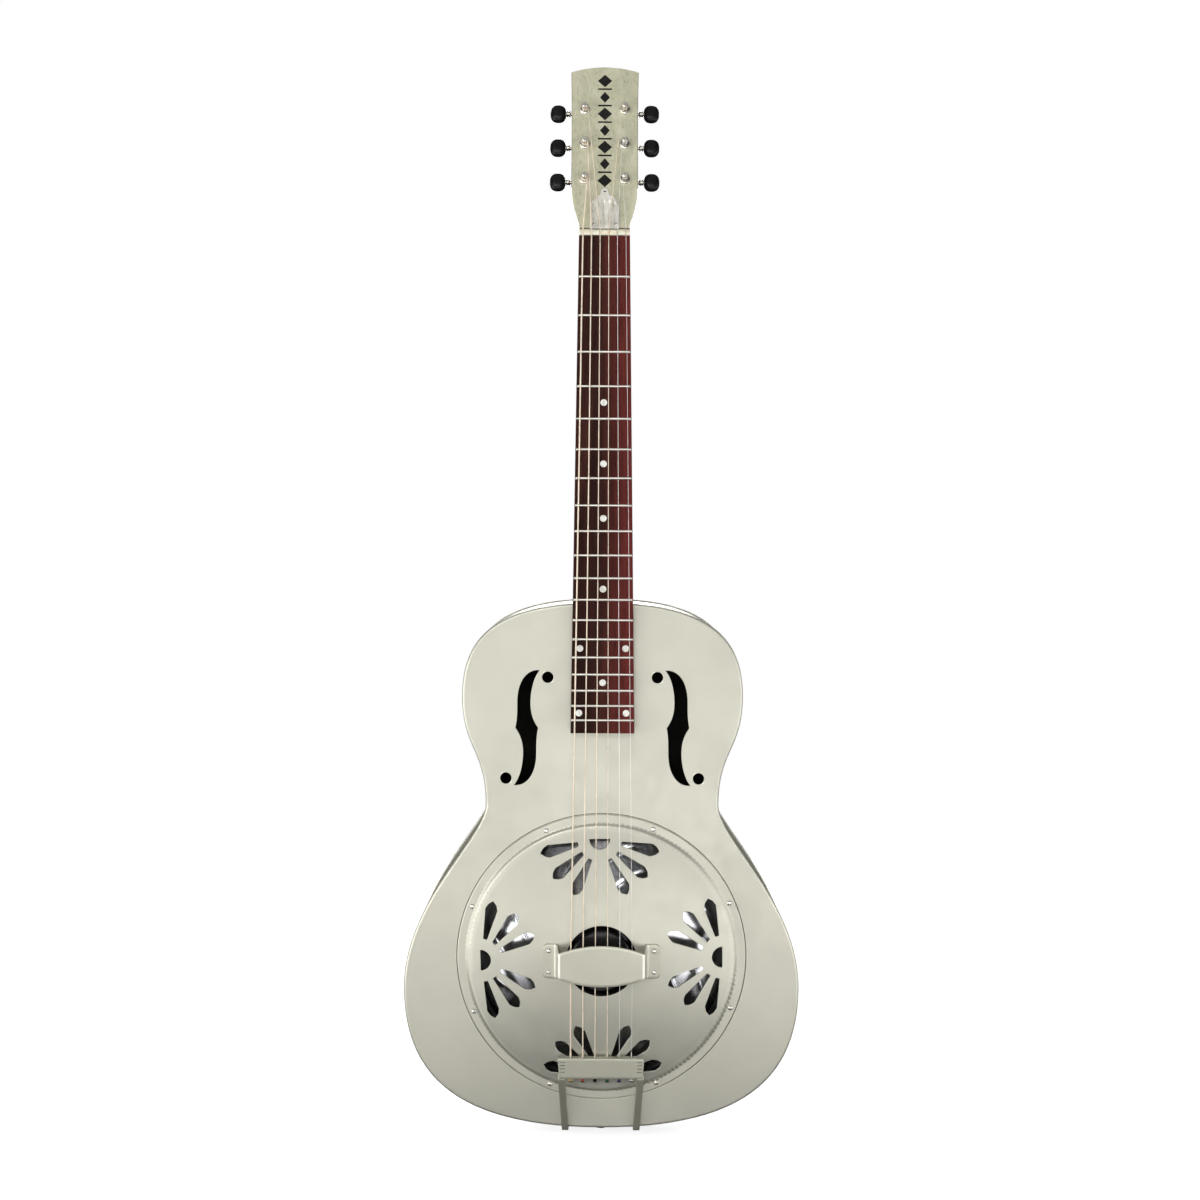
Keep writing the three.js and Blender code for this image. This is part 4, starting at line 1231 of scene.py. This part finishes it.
def rod_cover():
    """A bell-shaped plate with fluted pearl over the truss rod's end."""
    half = [Vector((13, 6.2))] + cubic((13, 20), (13, 32), (10, 36.5), (4, 38), 12)
    half += [Vector((4, 38))] + quadratic((3, 43), (1.5, 44.4), (0, 44.5), 4)
    other = [Vector((-p.x, p.y)) for p in reversed(half)]
    loop = anticlockwise(half + [Vector((0, 44.5))] + other)

    def flutes(x, z):
        fade = smooth(z, 8, 11) * (1 - smooth(z, 29, 33)) * (1 - smooth(abs(x), 9.2, 10.2))
        return 2.3 - 0.75 * fade * max(0, math.cos(math.pi * x / 2.2)) ** 0.7

    grid = [(x * 0.3, z * 1.1) for x in range(-43, 44) for z in range(5, 40)]
    verts, faces = pierced_sheet(loop, [], flutes, arc_lip(0.7, 2.0), None, grid)
    piece("rod_cover_pearl", verts, faces, PEARL_COVER, slot="pearloid",
          nodes=["truss_rod_cover"], place=HEAD, sharp=50)
    for k, (x, z) in enumerate(((-10.3, 10), (10.3, 10), (0, 40.5))):
        screw(f"rod_cover_screw_{k + 1}", HEAD @ shift(x, -2.3, z), 1.6, k)


# ---- tuners ----
def gear_loop():
    loop = []
    tip, root = GEAR_R + GEAR_MODULE, GEAR_R - 1.2 * GEAR_MODULE
    for tooth in range(GEAR_TEETH):
        for share, radius in ((0.2, root), (0.34, GEAR_R), (0.41, tip), (0.59, tip), (0.66, GEAR_R),
                              (0.8, root)):
            a = 2 * math.pi * (tooth + share - 0.5) / GEAR_TEETH + math.pi / 2
            loop.append(Vector((radius * math.cos(a), radius * math.sin(a))))
    return loop


def worm():
    """The thread's crest follows a right-handed helix, with a gap where the gear's tooth sits."""
    lead = math.pi * GEAR_MODULE
    around, rows = 28, 80
    rings = []
    for row in range(rows + 1):
        along = (EAR_X - GAP) * (2 * row / rows - 1)
        ring = []
        for k in range(around):
            a = 2 * math.pi * k / around
            phase = (along / lead + a / (2 * math.pi) - 0.25) % 1
            off = abs(phase - 0.5) * 2
            height = min(1, max(0, (off - 0.4) / 0.32)) * min(1, (EAR_X - GAP - abs(along)) / 0.5)
            radius = WORM_R - 0.85 + 1.25 * height
            ring.append(Vector((radius * math.cos(a), along, radius * math.sin(a))))
        rings.append(ring)
    return skin(rings)


def button_shape():
    rings = []
    for row in range(1, 16):
        v = math.pi * (row / 16 - 0.5)
        shrink = math.cos(v) ** 0.55
        ring = []
        for k in range(36):
            a = 2 * math.pi * k / 36
            cx = math.copysign(abs(math.cos(a)) ** 0.8, math.cos(a))
            cz = math.copysign(abs(math.sin(a)) ** 0.8, math.sin(a))
            ring.append(Vector((3.9 * math.sin(v), 7.2 * cx * shrink, 8.3 * cz * shrink)))
        rings.append(ring)
    return skin(rings)


def tuner_frame(number, place, key):
    """The plate behind the head, with two ears that are bored for the key's shaft."""
    plate = pierced_sheet(
        rounded([(-9.5, -12.5), (9.5, -12.5), (9.5, 15.5), (-9.5, 15.5)], 3.0, 5),
        [circle(0, 0, 3.3, 28)], lambda x, z: LAID, arc_lip(0.3, SHEET), arc_lip(0.2, SHEET),
        toward=1,
    )
    ear = rounded([(1.3, 4.1), (9.1, 4.1), (9.1, 10.9), (1.3, 10.9)], 2.6, 5)
    ears = []
    for end in (-1, 1):
        sides = sorted((end * EAR_X, end * (EAR_X + SHEET)))
        ears.append(skin([[Vector((x, p.x, p.y)) for p in ear] for x in sides]))
    made = piece(f"tuner_frame_{number}", *merged(plate, *ears), NICKEL, slot="nickel",
                 nodes=[f"tuner_plate_{number}"], place=place)
    carve(made, (*turned([(0, -12), (1.9, -12), (1.9, 12), (0, 12)], 20), key))
    for letter, up in (("a", -9.3), ("b", 12.9)):
        spot = place @ shift(0, LAID, up) @ spin(math.pi, "Z")
        screw(f"tuner_screw_{number}_{letter}", spot, 1.7, number)


def bushing(number, place):
    profile = [(3.3, -1.5), (3.7, -1.8), (4.6, -1.5), (5.0, -0.7), (5.1, 0), (4.3, 0.3),
               (4.3, 12), (3.3, 12)]
    piece(f"bushing_{number}", *turned(profile, 40), POST_NICKEL, slot="nickel", place=place)


def post(number, place):
    """A post with a waist for the string's turns and a slot across its tip."""
    tip, seat = -HEAD_THICK - POST_RISE, -HEAD_THICK - 1.2
    profile = [(0, tip), (1.9, tip), (2.6, tip + 0.25), (2.9, tip + 0.8), (2.9, tip + 1.6),
               (2.5, tip + 2.1), (POST_WAIST_R, tip + 2.6), (POST_WAIST_R, seat),
               (2.6, seat + 0.6), (2.9, seat + 1.2), (2.9, WORM_BACK - 2.3),
               (1.8, WORM_BACK - 2.3), (1.8, 7.6), (0, 7.6)]
    made = piece(f"post_turned_{number}", *turned(profile, 36), POST_NICKEL,
                 body=f"post_{number}", slot="nickel", nodes=[f"tuner_post_{number}"], place=place)
    carve(made, (*round_box((-0.45, tip - 1, -4), (0.45, tip + 0.7, 4)), place))


def gear(number, place):
    """A toothed ring about the post's lower end, and the screw that holds it."""
    teeth = gear_loop()
    bore = circle(0, 0, GEAR_BORE_R, len(teeth))
    spot = teeth[0].normalized() * GEAR_BORE_R
    first = min(range(len(bore)), key=lambda k: (bore[k] - spot).length)
    bore = bore[first:] + bore[:first]
    low, high = GEAR_FACES
    loops = ((teeth, low), (teeth, high), (bore, high), (bore, low))
    rings = [[Vector((p.x, y, p.y)) for p in loop] for loop, y in loops]
    piece(f"gear_{number}", *skin(rings, wrap=True), NICKEL, body=f"post_{number}", slot="nickel",
          nodes=[f"tuner_gear_{number}"], place=place)
    end = place @ shift(0, high, 0) @ spin(math.pi, "Z")
    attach(screw(f"gear_screw_{number}", end, 2.9, number * 0.9, cross=False), f"post_{number}")


def tuner_key(number, place):
    """The worm with its shaft and collar, which leave the head at its side, and the button."""
    edge = HEAD_HALF - POST_X
    reach = BUTTON_X - POST_X
    collar = [(1.6, 1.2), (2.3, 1.5), (2.6, 2), (2.6, 2.8), (2.0, 3.1), (2.0, 3.5), (2.6, 3.8),
              (2.6, 4.4), (2.2, 4.9), (1.6, 5.2)]
    shaft = [(0, -9), (1.3, -9), (1.6, -8.7)] + [(radius, edge + y) for radius, y in collar]
    shaft += [(1.6, reach), (0, reach)]
    piece(f"worm_and_shaft_{number}", *merged(turned(shaft, 28), worm()), NICKEL,
          body=f"key_{number}", slot="nickel", nodes=[f"worm_shaft_{number}"], place=place)
    piece(f"button_{number}", *button_shape(), BUTTON, body=f"key_{number}", slot="black_button",
          nodes=[f"tuner_button_{number}"], place=place @ shift(0, reach, 0), sharp=60)


def tuner(index):
    """One machine head. Its post turns in the head and its key turns in the plate's ears."""
    side = -1 if index < 3 else 1
    x, z = post_places()[index]
    place = HEAD @ shift(x, HEAD_THICK, z)
    key = place @ shift(0, WORM_BACK, WORM_OFFSET) @ spin(-side * math.pi / 2, "Z")
    tuner_frame(index + 1, place, key)
    bushing(index + 1, HEAD @ shift(x, 0, z))
    post(index + 1, place)
    gear(index + 1, place)
    tuner_key(index + 1, key)


# ---- strings ----
def strings():
    """Each from its ball end over saddle and nut, with two turns about its post."""
    for index, radius in enumerate(STRING_RADII):
        side = -1 if index < 3 else 1
        low = string_x(index, SADDLE_SPREAD)
        high = string_x(index, NUT_SPREAD)
        seat = -NUT_SLOT - TOUCH - radius
        points = [
            Vector((low, FACE_Y - TAIL_HEIGHT, TAIL_Z)),
            Vector((low, FACE_Y - crown(low) - TOUCH - radius, CONE_Z)),
            NECK @ Vector((high, seat, 0)),
            NECK @ Vector((high, seat, NUT_LENGTH)),
        ]
        winding = POST_WAIST_R + TOUCH + radius
        post_x, post_z = post_places()[index]
        steps = 24
        coil = []
        for k in range(2 * steps + 1):
            a = 2 * math.pi * k / steps
            rise = COIL_RISE - (k / steps) * (2 * radius + TOUCH)
            x = post_x - side * winding * math.cos(a)
            coil.append(HEAD @ Vector((x, -rise, post_z + winding * math.sin(a))))
        look, slot = (BRONZE, "wound_bronze") if index < 4 else (STEEL, "steel")
        piece(f"string_wire_{index + 1}", *tube(points + coil, radius, 10), look, slot=slot,
              nodes=[f"string_{index + 1}"], sharp=50)
        twist = [Vector((low, FACE_Y - TAIL_HEIGHT, TAIL_Z + 2 * k)) for k in range(13)]
        piece(f"string_wrap_{index + 1}", *tube(twist, radius + 0.28, 8), look, slot=slot)


# ---- studio ----
# metres and watts
LAMP_TARGET = Vector((0, 0, -0.45))
LAMPS = (
    ("key", (-0.7, -3.0, 1.0), (2.4, 1.1), 43),
    ("fill", (0.2, -3.0, -1.1), (2.4, 1.0), 21),
    ("left", (-1.7, -1.3, -0.5), (0.7, 1.6), 19),
    ("right", (1.7, -1.3, -0.5), (0.7, 1.6), 13),
    ("far_left", (-1.9, -0.3, -0.65), (0.6, 1.3), 8),
    ("far_right", (1.9, -0.3, -0.65), (0.6, 1.3), 6),
    ("low_left", (-1.25, -2.0, -1.2), (0.6, 0.9), 6),
    ("low_right", (1.25, -2.0, -1.2), (0.6, 0.9), 6),
    ("overhead", (0, -0.9, 2.2), (2.4, 1.6), 5),
    ("behind", (0, 2.6, 0.9), (1.6, 1.0), 60),
)
FLOOR_Z = -0.81
FLOOR_R = 1.1
CAMERA_PLACE = (-0.00258, -1.222, -0.25887)
CAMERA_LENS = 40.87
CAMERA_SENSOR = 36
CAMERA_PITCH = math.radians(90 - 2.814)
CAMERA_ROLL = math.radians(0.24)


def area(name, place, size, power):
    lamp = bpy.data.lights.new(name, "AREA")
    lamp.shape = "RECTANGLE"
    lamp.size, lamp.size_y = size
    lamp.energy = power
    made = bpy.data.objects.new(name, lamp)
    made.location = place
    made.rotation_euler = (LAMP_TARGET - Vector(place)).to_track_quat("-Z", "Y").to_euler()
    made.visible_camera = False
    bpy.context.scene.collection.objects.link(made)


def sky():
    """White to the camera, and a grey that brightens upwards to everything else."""
    world = bpy.data.worlds.new("studio")
    bpy.context.scene.world = world
    world.use_nodes = True
    tree = Tree(world.node_tree)
    ambient = world.node_tree.nodes["Background"]
    up = tree.node("ShaderNodeSeparateXYZ", "Z", {0: tree.node("ShaderNodeTexCoord", "Generated")})
    tree.tree.links.new(tree.span(up, -0.7, 0.4, 0.35, 0.46), ambient.inputs["Strength"])
    white = tree.node("ShaderNodeBackground", 0, {"Color": (1, 1, 1, 1), "Strength": 1.0})
    seen = tree.node("ShaderNodeLightPath", "Is Camera Ray")
    mixed = tree.node("ShaderNodeMixShader", 0, {0: seen, 1: ambient.outputs[0], 2: white})
    tree.tree.links.new(mixed, world.node_tree.nodes["World Output"].inputs["Surface"])


def floor():
    data = bpy.data.meshes.new("studio_floor")
    data.from_pydata([(p.x, p.y, FLOOR_Z) for p in circle(0, 0, FLOOR_R, 96)], [],
                     [tuple(range(96))])
    made = bpy.data.objects.new("studio_floor", data)
    bpy.context.scene.collection.objects.link(made)
    look = Look("pale_floor", Emission_Color=(1, 1, 1, 1), Emission_Strength=0.75)
    speckle = look.ramp(look.noise(60, 4), (0.3, grey(0.93)), (0.7, grey(0.96)))
    data.materials.append(look.done(speckle, look.span(speckle, 0, 1, 0.7, 0.9)))
    made.visible_glossy = False
    made.visible_diffuse = False


def studio():
    bpy.context.scene.view_settings.view_transform = "Standard"
    sky()
    for name, place, size, power in LAMPS:
        area(name, place, size, power)
    floor()


def camera():
    lens = bpy.data.cameras.new("camera")
    lens.sensor_width = CAMERA_SENSOR
    lens.lens = CAMERA_LENS
    made = bpy.data.objects.new("camera", lens)
    made.matrix_world = shift(*CAMERA_PLACE) @ spin(CAMERA_PITCH, "X") @ spin(CAMERA_ROLL, "Z")
    bpy.context.scene.collection.objects.link(made)
    bpy.context.scene.camera = made


def restyle(node, material):
    """Gives a CAD node that keeps its shape a finished material."""
    for held in frame["nodes"][node].material_slots:
        held.material = material


camera()
studio()
body_shell()
cone_parts()
saddle()
cover()
hand_rest()
tailpiece_bar()
tailpiece_legs()
ball_ends()
strap_button()
neck()
fingerboard()
frets()
dots()
nut()
veneer()
inlays()
rod_cover()
for index in range(6):
    tuner(index)
strings()
restyle("neck_stick", MAPLE)
restyle("truss_rod", STEEL)
